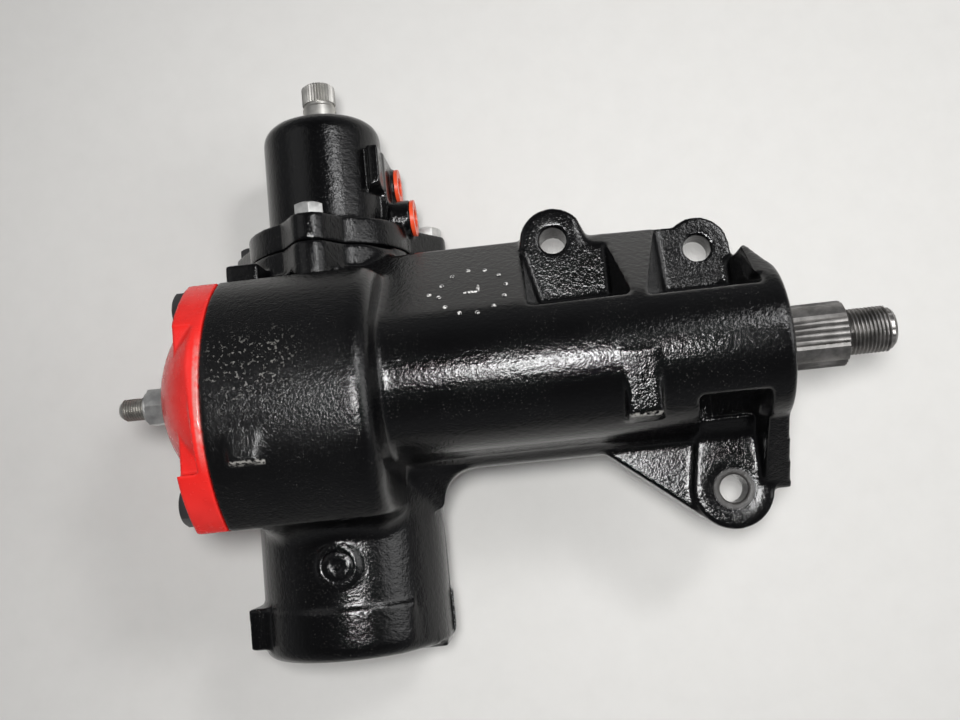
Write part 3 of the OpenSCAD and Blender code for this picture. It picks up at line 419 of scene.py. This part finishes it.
def casting(node, name, machined, voxel, rounds, most_faces, added=(), reshape=None, blend=None):
    obj = copy_of(node, name)
    if added:
        obj = join(name, obj, *added)
    apply_modifier(obj, "REMESH", mode="VOXEL", voxel_size=voxel, use_smooth_shade=True)
    apply_modifier(obj, "SMOOTH", factor=0.5, iterations=2)
    if reshape:
        for vertex in obj.data.vertices:
            vertex.co.z = reshape(vertex.co)
    group = obj.vertex_groups.new(name="cast")
    group.add([v.index for v in obj.data.vertices if not machined(v.co)], 1.0, "REPLACE")
    apply_modifier(obj, "SMOOTH", factor=0.5, iterations=rounds, vertex_group="cast")
    obj.vertex_groups.clear()
    if blend:
        soften(obj, blend_rounds, blend)
    faces = 2 * len(obj.data.polygons)
    print(name, "has", faces, "triangles before it is thinned")
    if faces > most_faces:
        apply_modifier(obj, "DECIMATE", ratio=most_faces / faces, use_collapse_triangulate=True)
    alone(obj)
    bpy.ops.object.shade_smooth()
    return obj


print("large blends take", blend_rounds, "rounds")

# %% [markdown]
# The housing has bores, a chamber and three bolt holes that are machined, and the step of the band
# round the cylinder is crisp too. A point is known by its distance from the axis of a bore or hole.

# %% Machined places of the housing
x_axis, y_axis, z_axis = Vector((1, 0, 0)), Vector((0, 1, 0)), Vector((0, 0, 1))
bore_middle, shaft_middle = Vector((-0.257, 0, -0.058)), Vector((0, 0, 0))
lug_holes = [Vector((-0.133, 0.066, 0)), Vector((-0.0595, 0.055, 0)), lower_lug]
hole_reach, bore_reach, tube_reach, chamber_reach = 0.0092, 0.0425, 0.0265, 0.043
bore_end_y, chamber_end_x = -0.124, -0.227
band_y, band_half, band_inside = -0.1085, 0.0035, 0.045


def off_axis(point, middle, axis):
    away = point - middle
    return (away - axis * away.dot(axis)).length


def housing_machined(p):
    from_bore, from_shaft = off_axis(p, bore_middle, y_axis), off_axis(p, shaft_middle, x_axis)
    near_hole = any(off_axis(p, hole, z_axis) < hole_reach for hole in lug_holes)
    in_bore = from_bore < bore_reach and p.y > bore_end_y
    in_tube = from_shaft < tube_reach
    in_chamber = from_shaft < chamber_reach and p.x < chamber_end_x
    on_band = abs(p.y - band_y) < band_half and from_bore > band_inside
    return near_hole or in_bore or in_tube or in_chamber or on_band


print("bolt holes", len(lug_holes))

# %% [markdown]
# The wall beside the upper lug thins out to a feather edge in the solid model, where the real one
# is a stout corner. A small block is cut to the web's slope and to the slanted end, and goes into
# the same skin, which melts the joint away.

# %% Corner block
web_cut = ((0, 0.0296, 0.0238), (0, 0.777, 0.629))
end_cut = ((-0.0405, 0.0488, 0), (0.9, 0.43, 0))
bpy.ops.object.select_all(action="DESELECT")
bpy.ops.mesh.primitive_cube_add(size=1.0, location=(-0.03845, 0.0395, -0.0075))
corner = bpy.context.object
corner.scale = (0.0089, 0.019, 0.069)
done(corner)
for place, normal in (web_cut, end_cut):
    edit(corner)
    bpy.ops.mesh.bisect(plane_co=place, plane_no=normal, use_fill=True, clear_outer=True)
bpy.ops.object.mode_set(mode="OBJECT")
print("corner block", len(corner.data.polygons), "faces")

# %% [markdown]
# Under the chamber the cylinder begins with a wide flare. It starts as a short open tube round the
# cylinder. Each of its points is pushed out towards the chamber's lower edge, most at the top and
# less and less downwards, and the tube then gets a thick wall that is buried in the casting.

# %% Flare of the cylinder
barrel_r, flare_sunk, flare_inner_r = 0.0495, 0.0003, 0.0455
flare_top, flare_depth = -0.0635, 0.015
flare_left, flare_right, flare_front = 0.0412, 0.034, 0.066
bpy.ops.object.select_all(action="DESELECT")
bpy.ops.mesh.primitive_cylinder_add(vertices=96, radius=barrel_r - flare_sunk, depth=flare_depth,
    end_fill_type="NOTHING", location=(bore_middle.x, flare_top - flare_depth / 2, bore_middle.z),
    rotation=(math.pi / 2, 0, 0))
flare = bpy.context.object
done(flare)
edit(flare)
bpy.ops.mesh.subdivide(number_cuts=5)
bpy.ops.object.mode_set(mode="OBJECT")
for vertex in flare.data.vertices:
    side, front = vertex.co.x - bore_middle.x, vertex.co.z - bore_middle.z
    radius = math.hypot(side, front)
    if front > 0:
        limit = flare_left if side < 0 else flare_right
        far = min(flare_front / (front / radius), limit / max(abs(side) / radius, 0.001))
        drop = (flare_top - vertex.co.y) / flare_depth
        share = 1 - math.sqrt(max(0.0, 1 - (1 - drop) ** 2))
        grow = 1 + share * max(0.0, far / radius - 1)
        vertex.co.x, vertex.co.z = bore_middle.x + side * grow, bore_middle.z + front * grow
edit(flare)
bpy.ops.mesh.extrude_region()
bpy.ops.object.mode_set(mode="OBJECT")
for vertex in flare.data.vertices:
    if vertex.select:
        away = Vector((vertex.co.x - bore_middle.x, 0, vertex.co.z - bore_middle.z))
        inner = bore_middle + away.normalized() * flare_inner_r
        vertex.co.x, vertex.co.z = inner.x, inner.z
edit(flare)
bpy.ops.mesh.normals_make_consistent(inside=False)
bpy.ops.object.mode_set(mode="OBJECT")
print("flare", len(flare.data.polygons), "faces")

# %% [markdown]
# Two forms are drawn over the new skin by setting the height of its points. The foot falls away to
# the cylinder on a slope, and a round fillet rises where the lower lug's face meets the tube.

# %% Slope of the foot and fillet over the lower lug
foot_left, foot_right, foot_top_z = -0.2212, -0.18, -0.025
slope_y, slope_fall = -0.0465, 1.1
pocket_left, pocket_right, pocket_wall_y, pocket_floor_z = -0.0705, -0.0432, -0.033, -0.0235
fillet_y, fillet_z, fillet_r = -0.045, -0.011, 0.011


def round_front(x, radius):
    return bore_middle.z + math.sqrt(max(0.0, radius ** 2 - (x - bore_middle.x) ** 2))


def housing_height(p):
    if p.y < slope_y and foot_left < p.x < foot_right:
        return min(p.z, max(round_front(p.x, barrel_r), foot_top_z - slope_fall * (slope_y - p.y)))
    in_pocket = pocket_left < p.x < pocket_right and fillet_y < p.y < pocket_wall_y
    if in_pocket and pocket_floor_z < p.z < fillet_z:
        return max(p.z, fillet_z - math.sqrt(max(0.0, fillet_r ** 2 - (p.y - fillet_y) ** 2)))
    return p.z


print("fillet radius", fillet_r)

# %% [markdown]
# Some inside corners of the real casting have a large radius: the shoulder between chamber and
# tube, the start of the cylinder, and the corners at the foot and at two lugs. Each of them gets a
# share in the long smoothing, which is full close to the corner and fades to nothing around it.

# %% Large blends and the housing's skin
foot_corner, lug_corner = Vector((-0.207, -0.055, -0.028)), Vector((-0.1145, 0.0685, -0.018))
shoulder_x, shoulder_low_z, shoulder_inside = -0.2185, -0.036, 0.036
cylinder_y, cylinder_left, cylinder_low_z, cylinder_reach = -0.0665, -0.297, -0.05, 0.058
lug_left, lug_right, lug_fillet_y, lug_fillet_z = -0.074, -0.041, -0.038, -0.017
foot_edge_left, foot_edge_right, foot_edge_y = -0.19, -0.118, -0.0455


def fade(distance, full, reach):
    return (reach - distance) / (reach - full)


def housing_blend(p):
    if housing_machined(p):
        return 0
    shares = [fade((p - foot_corner).length, 0.011, 0.02), fade((p - lug_corner).length, 0.005, 0.009)]
    if p.z > shoulder_low_z and off_axis(p, shaft_middle, x_axis) > shoulder_inside:
        shares.append(fade(abs(p.x - shoulder_x), 0.004, 0.012))
    near_cylinder = off_axis(p, bore_middle, y_axis) < cylinder_reach
    if near_cylinder and p.x > cylinder_left and p.z > cylinder_low_z:
        shares.append(fade(abs(p.y - cylinder_y), 0.003, 0.009))
    if lug_left < p.x < lug_right and p.z > pocket_floor_z:
        shares.append(fade(math.hypot(p.y - lug_fillet_y, p.z - lug_fillet_z), 0.006, 0.011))
    if foot_edge_left < p.x < foot_edge_right:
        shares.append(fade(math.hypot(p.y - foot_edge_y, p.z - foot_top_z), 0.003, 0.006))
    return max(shares)


housing_skin = casting("housing", "housing_casting", housing_machined, voxel=0.0012, rounds=5,
    most_faces=190000, added=[corner, flare], reshape=housing_height, blend=housing_blend)
dress(housing_skin, "housing", "black_paint", "housing")

# %% [markdown]
# The valve housing is a casting too, made the same way with a finer skin because it is smaller. The
# facet beside its ports ends further right and higher than in the solid model. Cutting it again
# would need a new solid, so the points of the skin beside it are set back onto the round body.

# %% Valve housing
valve_r, valve_bore_reach, joint_y, joint_room = 0.033, 0.0195, 0.0774, 0.001
facet_left, facet_step_z, facet_back_z = -0.2285, -0.048, -0.052
facet_x, facet_y = (-0.2365, -0.2205), (0.0965, 0.137)
facet_low_x, facet_low_y, facet_rise = -0.2387, 0.1075, 0.34


def valve_machined(p):
    return off_axis(p, bore_middle, y_axis) < valve_bore_reach or p.y < joint_y - joint_room


def valve_facet(p):
    beside = p.x < facet_left or p.y < facet_low_y + facet_rise * (p.x - facet_low_x)
    inside = facet_x[0] < p.x < facet_x[1] and facet_y[0] < p.y < facet_y[1]
    if inside and p.z > facet_back_z and beside:
        return min(p.z, max(round_front(p.x, valve_r), facet_step_z))
    return p.z


valve_skin = casting("valve_housing", "valve_casting", valve_machined, voxel=0.0009, rounds=6,
    most_faces=150000, reshape=valve_facet)
dress(valve_skin, "housing", "black_paint", "valve_housing")

# %% [markdown]
# The cover is the red lid of the sector chamber, and its skin is made like the others. Only the
# hole for the stud and the face on the chamber are machined, so a point is tested for these two.

# %% Cover
cover_joint_x, cover_joint_room, cover_hole_reach = -0.2995, 0.0008, 0.0065


def cover_machined(p):
    return off_axis(p, shaft_middle, x_axis) < cover_hole_reach or p.x > cover_joint_x - cover_joint_room


cover_skin = casting("sector_cover", "cover_casting", cover_machined, voxel=0.0009, rounds=4, most_faces=120000)
dress(cover_skin, "housing", "red_paint", "sector_cover")

# %% [markdown]
# A hexagon head is turned as well as milled: the lathe leaves a cone at its outer end, so each
# corner is cut back and each flat ends in an arc. Bevels can't give those arcs, but a six-sided
# cylinder crossed with a wide cone gives exactly that. A thin washer face and the shank are round
# bars. A bolt is made once, standing on the origin, and its copies are then stood on their seats.

# %% Hexagon heads and round bars
cone_share = 0.46


def hex_head(name, across, height):
    bpy.ops.object.select_all(action="DESELECT")
    size = across / math.sqrt(3)
    bpy.ops.mesh.primitive_cylinder_add(vertices=6, radius=size, depth=height, location=(0, 0, height / 2))
    head = bpy.context.object
    head.name = name
    slope = height * math.tan(math.radians(60))
    bpy.ops.mesh.primitive_cone_add(vertices=72, radius1=cone_share * across + slope,
        radius2=cone_share * across, depth=height, location=(0, 0, height / 2))
    cone = bpy.context.object
    apply_modifier(head, "BOOLEAN", operation="INTERSECT", object=cone, solver="EXACT")
    bpy.data.objects.remove(cone)
    apply_modifier(head, "BEVEL", width=0.00016, segments=2, limit_method="ANGLE", angle_limit=math.radians(26))
    return done(head, 20)


def round_bar(radius, start, length, edge):
    bpy.ops.object.select_all(action="DESELECT")
    bpy.ops.mesh.primitive_cylinder_add(vertices=64, radius=radius, depth=length,
        location=(0, 0, start + length / 2))
    bar = bpy.context.object
    apply_modifier(bar, "BEVEL", width=edge, segments=3, limit_method="ANGLE", angle_limit=math.radians(40))
    return done(bar, 30)


def stand(obj, at, towards, spin=0.0):
    turn = Matrix.Rotation(math.radians(spin), 3, "Z").to_quaternion()
    obj.rotation_mode = "QUATERNION"
    obj.rotation_quaternion = Vector(towards).to_track_quat("Z", "Y") @ turn
    obj.location = at
    alone(obj)
    bpy.ops.object.transform_apply(location=True, rotation=True, scale=True)
    return obj


def twin(obj, name):
    copy = bpy.data.objects.new(name, obj.data.copy())
    scene.collection.objects.link(copy)
    return copy


print("bolt helpers ready")

# %% [markdown]
# Three bolts hold the valve housing, two in bright zinc and the left one in black. They are alike, so
# one bolt is modelled, copied twice and stood on the three lobes of the flange, each turned a little
# differently because a wrench never stops all of them at the same angle.

# %% Valve bolts
flange_y, shank_r = 0.0918, 0.00475
valve_bolt_seats = [(-0.257, flange_y, -0.0105), (-0.2049, flange_y, -0.0857), (-0.3091, flange_y, -0.0857)]
head = hex_head("valve_bolt_front", across=0.0143, height=0.0065)
washer = round_bar(radius=0.0068, start=0.0, length=0.0005, edge=0.00015)
shank = round_bar(shank_r, start=-0.0284, length=0.0286, edge=0.0006)
front_bolt = join("valve_bolts_bright", head, washer, shank)
right_bolt, left_bolt = twin(front_bolt, "valve_bolt_right"), twin(front_bolt, "valve_bolt_black")
for obj, seat, spin in zip((front_bolt, right_bolt, left_bolt), valve_bolt_seats, (12, 30, 0)):
    stand(obj, seat, y_axis, spin)
dress(join("valve_bolts_bright", front_bolt, right_bolt), "housing", "zinc", "valve_bolts")
dress(left_bolt, "housing", "black_steel", "valve_bolts")

# %% [markdown]
# The cover bolts carry a wide flange under the hexagon and were painted with the gearbox. Such a bolt
# could be one turned profile, but a round bar under the same kind of head keeps all the bolts alike.

# %% Cover bolts
cover_seat_x, away_from_cover = -0.3145, (-1, 0, 0)
head = hex_head("cover_bolt_head", across=0.0175, height=0.0055)
head.location.z = 0.002
flange = round_bar(radius=0.0105, start=0.0, length=0.0021, edge=0.0007)
shank = round_bar(shank_r, start=-0.035, length=0.0355, edge=0.0006)
upper_bolt = join("cover_bolts_black", head, flange, shank)
lower_bolt = twin(upper_bolt, "cover_bolt_lower")
stand(upper_bolt, (cover_seat_x, 0.04412, 0.010), away_from_cover, 10)
stand(lower_bolt, (cover_seat_x, -0.05062, 0.016), away_from_cover, 25)
dress(join("cover_bolts_black", upper_bolt, lower_bolt), "housing", "black_steel", "cover_bolts")

# %% [markdown]
# The locknut of the adjuster is plated and ends in a thin round collar. The hole for the stud is cut
# through nut and collar each by itself, because a cut is surest on a single closed body.

# %% Locknut
dome_top_x = -0.3325
hole = round_bar(radius=0.00565, start=-0.002, length=0.016, edge=0.0001)
locknut = hex_head("locknut_plated", across=0.0175, height=0.0103)
collar = round_bar(radius=0.0078, start=0.0101, length=0.0014, edge=0.0004)
for obj in (locknut, collar):
    apply_modifier(obj, "BOOLEAN", operation="DIFFERENCE", object=hole, solver="EXACT")
bpy.data.objects.remove(hole)
locknut = stand(join("locknut_plated", locknut, collar), (dome_top_x, 0, 0), away_from_cover)
dress(done(locknut, 20), "housing", "zinc", "adjuster_locknut")

# %% [markdown]
# A thread is one ridge wound round a core. The solid model has a plain bar there, so a copy of
# it is cut at the start of the thread and drawn in to the root. A bump could only fake the ridge,
# so it is real: it starts as a small plane, narrowed at its outer edge, and the Screw modifier
# winds it along the shaft at the real pitch.

# %% Threads
def drawn_in(obj, cut_x, step, ratio, outside):
    for place in (cut_x, cut_x + step):
        edit(obj)
        bpy.ops.mesh.bisect(plane_co=(place, 0, 0), plane_no=(1, 0, 0))
    middle_x = cut_x + step / 2
    edit(obj, lambda p: (p.x - middle_x) * step > 0 and math.hypot(p.y, p.z) > outside)
    bpy.ops.transform.resize(value=(1, ratio, ratio), center_override=(0, 0, 0))
    bpy.ops.object.mode_set(mode="OBJECT")
    return obj


def ridge(name, start, root, crest, pitch, turns):
    bpy.ops.object.select_all(action="DESELECT")
    bpy.ops.mesh.primitive_plane_add(size=1.0, location=(start, (root + crest) / 2, 0))
    obj = bpy.context.object
    obj.name = name
    obj.scale = (pitch * 0.9, crest - root, 1)
    bpy.ops.object.transform_apply(location=False, rotation=False, scale=True)
    edit(obj, lambda p: p.y > 0)
    bpy.ops.transform.resize(value=(0.2, 1, 1))
    bpy.ops.mesh.select_all(action="SELECT")
    bpy.ops.mesh.delete(type="ONLY_FACE")
    done(obj)
    apply_modifier(obj, "SCREW", axis="X", angle=2 * math.pi, screw_offset=pitch, iterations=turns,
        steps=40, render_steps=40)
    edit(obj)
    bpy.ops.mesh.remove_doubles(threshold=1e-7)
    bpy.ops.mesh.fill_holes(sides=0)
    bpy.ops.mesh.select_all(action="SELECT")
    bpy.ops.mesh.normals_make_consistent(inside=False)
    print(name, turns, "turns")
    return done(obj, 25)


print("thread helpers ready")

# %% [markdown]
# The output shaft keeps the spline of the solid model. Only the end for the arm's nut changes: its
# core is drawn in and ten turns of thread go round it. Faces that lie in one plane are merged, which
# keeps the shading along the spline clean.

# %% Output shaft with the arm nut's thread
shaft = copy_of("sector_shaft", "output_shaft")
drawn_in(shaft, cut_x=0.0003, step=0.0003, ratio=9.95 / 11.1, outside=0.005)
edit(shaft)
bpy.ops.mesh.dissolve_limited(angle_limit=math.radians(0.3))
done(shaft, 12)
arm_thread = ridge("arm_thread", start=0.0019, root=0.0098, crest=0.0111, pitch=0.001814, turns=10)
shaft = join("output_shaft", shaft, arm_thread)
dress(shaft, "sector", "shaft_steel", "sector_shaft")
shaft.data.materials[0] = worn_steel

# %% [markdown]
# The stud that sets the play of the gear gets its thread in the same way, only finer. It points away
# from the shaft's end, so here the step at the cut goes to the other side.

# %% Adjuster stud
stud = copy_of("adjuster_screw", "adjuster_stud")
drawn_in(stud, cut_x=-0.3438, step=-0.0003, ratio=4.85 / 5.55, outside=0.0036)
done(stud, 28)
stud_thread = ridge("stud_thread", start=-0.3553, root=0.0047, crest=0.00555, pitch=0.00127, turns=9)
stud = join("adjuster_stud", stud, stud_thread)
dress(stud, "adjuster", "shaft_steel", "adjuster_screw")

# %% [markdown]
# The pattern maker leaves marks in the sand: a ring of small studs on the web with a pointer
# inside it, an oval rim and a little block on the tube. The web is a flat that leaves the tube's
# round side at 51 degrees, so one helper gives the height and the tilt of the surface at any
# place, and a flattened ball that stands there is a stud.

# %% Ring of studs
tube_r, web_angle = 0.038, math.radians(51)
ring_middle, ring_half = (-0.1748, 0.0383), (0.0165, 0.0139)


def on_body(x, y):
    tilt = min(math.asin(min(1.0, y / tube_r)), web_angle)
    if tilt < web_angle:
        height = math.sqrt(tube_r ** 2 - y ** 2)
    else:
        height = (tube_r - y * math.sin(web_angle)) / math.cos(web_angle)
    return Vector((x, y, height)), Vector((0, math.sin(tilt), math.cos(tilt)))


def cast_stud(name, x, y, half, rise):
    bpy.ops.object.select_all(action="DESELECT")
    bpy.ops.mesh.primitive_uv_sphere_add(segments=14, ring_count=8, radius=1.0)
    obj = bpy.context.object
    obj.name = name
    obj.scale = (half[0], half[1], rise)
    bpy.ops.object.transform_apply(location=False, rotation=False, scale=True)
    at, out = on_body(x, y)
    return done(stand(obj, at, out))


ring_turns = [math.radians(degrees) for degrees in range(8, 368, 30)]
ring_places = [(ring_middle[0] + ring_half[0] * math.cos(a), ring_middle[1] + ring_half[1] * math.sin(a))
    for a in ring_turns] + [(-0.196, 0.0385)]
studs = [cast_stud("ring_stud", x, y, (0.0012, 0.0012), 0.0009) for x, y in ring_places]
studs += [cast_stud("pointer", -0.1755, 0.0375, (0.004, 0.0009), 0.0007),
    cast_stud("pointer", -0.1722, 0.0395, (0.0009, 0.0042), 0.0007)]
ring = join("ring_of_studs", *studs)
dress(ring, "housing", "black_paint")
# The studs get the finish with painted highlights in pale spots.
ring.data.materials[0] = stud_highlight_finish

# %% [markdown]
# The oval rim frames a bare field on the tube, and a little block stands beside it. A squeezed ring
# that is sunk halfway into the tube shows only its rounded rim, and the block is a box with rounded
# edges, so neither has to be cut into the casting.

# %% Oval rim and block on the tube
bpy.ops.object.select_all(action="DESELECT")
bpy.ops.mesh.primitive_torus_add(major_segments=40, minor_segments=8, major_radius=1.0, minor_radius=0.1)
oval = bpy.context.object
oval.scale = (0.0062, 0.0031, 0.0045)
bpy.ops.object.transform_apply(location=False, rotation=False, scale=True)
stand(oval, *on_body(-0.1755, 0.0028))
bpy.ops.object.select_all(action="DESELECT")
bpy.ops.mesh.primitive_cube_add(size=1.0)
block = bpy.context.object
block.scale = (0.0072, 0.0026, 0.0022)
bpy.ops.object.transform_apply(location=False, rotation=False, scale=True)
apply_modifier(block, "BEVEL", width=0.0006, segments=3)
stand(block, *on_body(-0.2121, 0.0055))
dress(done(join("tube_marks", oval, block), 60), "housing", "black_paint")

# %% [markdown]
# The round boss of the cylinder has a raised rim, and inside it a low swell with a pit in the
# middle, where the sand plug broke off. A flattened ring whose hole nearly closes has that shape.

# %% Swell in the cylinder's boss
bpy.ops.object.select_all(action="DESELECT")
bpy.ops.mesh.primitive_torus_add(major_segments=40, minor_segments=14, major_radius=0.0047, minor_radius=0.0036)
swell = bpy.context.object
swell.name = "boss_swell"
swell.scale.z = 0.42
swell.location = (-0.2565, -0.087, -0.0086)
dress(done(swell, 60), "housing", "black_paint")

# %% [markdown]
# The floor is a plain pale sheet just under the lowest point of the gearbox. One large plane is
# enough, and a faint fibre in its colour keeps it from looking like an empty background.

# %% Floor
floor_z = cad_box[0][2] - 0.0005
bpy.ops.object.select_all(action="DESELECT")
bpy.ops.mesh.primitive_plane_add(size=8.0, location=(0, 0, floor_z))
floor = bpy.context.object
floor.name = "floor"
paper = Finish("pale_floor", roughness=0.9)
fibre = paper.noise(60.0, 4.0, 0.6)
paper.feed(base_color=paper.blend(fibre, (0.62, 0.61, 0.59), (0.67, 0.66, 0.64)))
floor.data.materials.append(paper.material)
print("floor at", round(floor_z, 4))

# %% [markdown]
# The lights are soft discs: one near the camera, as the highlight along the tube shows, and others
# around the room, so that the gloss has something to mirror from every side. Discs were chosen
# because the edge of a square lamp would show in the gloss.

# %% Lights
light_target = (-0.16, 0.0, -0.03)


def soft_light(name, at, size, power):
    data = bpy.data.lights.new(name, "AREA")
    data.shape, data.size, data.energy = "DISK", size, power
    lamp = bpy.data.objects.new(name, data)
    scene.collection.objects.link(lamp)
    lamp.location = at
    lamp.rotation_euler = (Vector(light_target) - Vector(at)).to_track_quat("-Z", "Y").to_euler()
    print(name, power, "watts")


soft_light("light_at_camera", (-0.15, -0.02, 0.62), size=0.12, power=4.3)
soft_light("light_above", (0.34, 0.4, 0.85), size=0.22, power=3.2)
soft_light("light_left", (-1.0, 0.5, 0.9), size=0.9, power=1.0)
soft_light("light_right", (0.95, 0.1, 0.7), size=0.9, power=6.0)

# %% [markdown]
# The room is pale round the floor and dark overhead, because gloss black shows what it mirrors, and
# here it looks up. A picture of a room could do this, but a plain gradient needs no file.

# %% Room
world = bpy.data.worlds.new("room")
scene.world = world
world.use_nodes = True
room = world.node_tree
background = room.nodes["Background"]
direction, split = room.nodes.new("ShaderNodeTexCoord"), room.nodes.new("ShaderNodeSeparateXYZ")
strength = room.nodes.new("ShaderNodeMapRange")
for name, value in (("From Min", 0.0), ("From Max", 0.7), ("To Min", 0.3), ("To Max", 0.06)):
    strength.inputs[name].default_value = value
room.links.new(direction.outputs["Generated"], split.inputs[0])
room.links.new(split.outputs["Z"], strength.inputs["Value"])
room.links.new(strength.outputs[0], background.inputs["Strength"])
background.inputs["Color"].default_value = (0.96, 0.97, 1.0, 1.0)
print("room has", len(room.nodes), "nodes")

# %% [markdown]
# Last, nothing is left selected.

# %% Finish
bpy.ops.object.select_all(action="DESELECT")
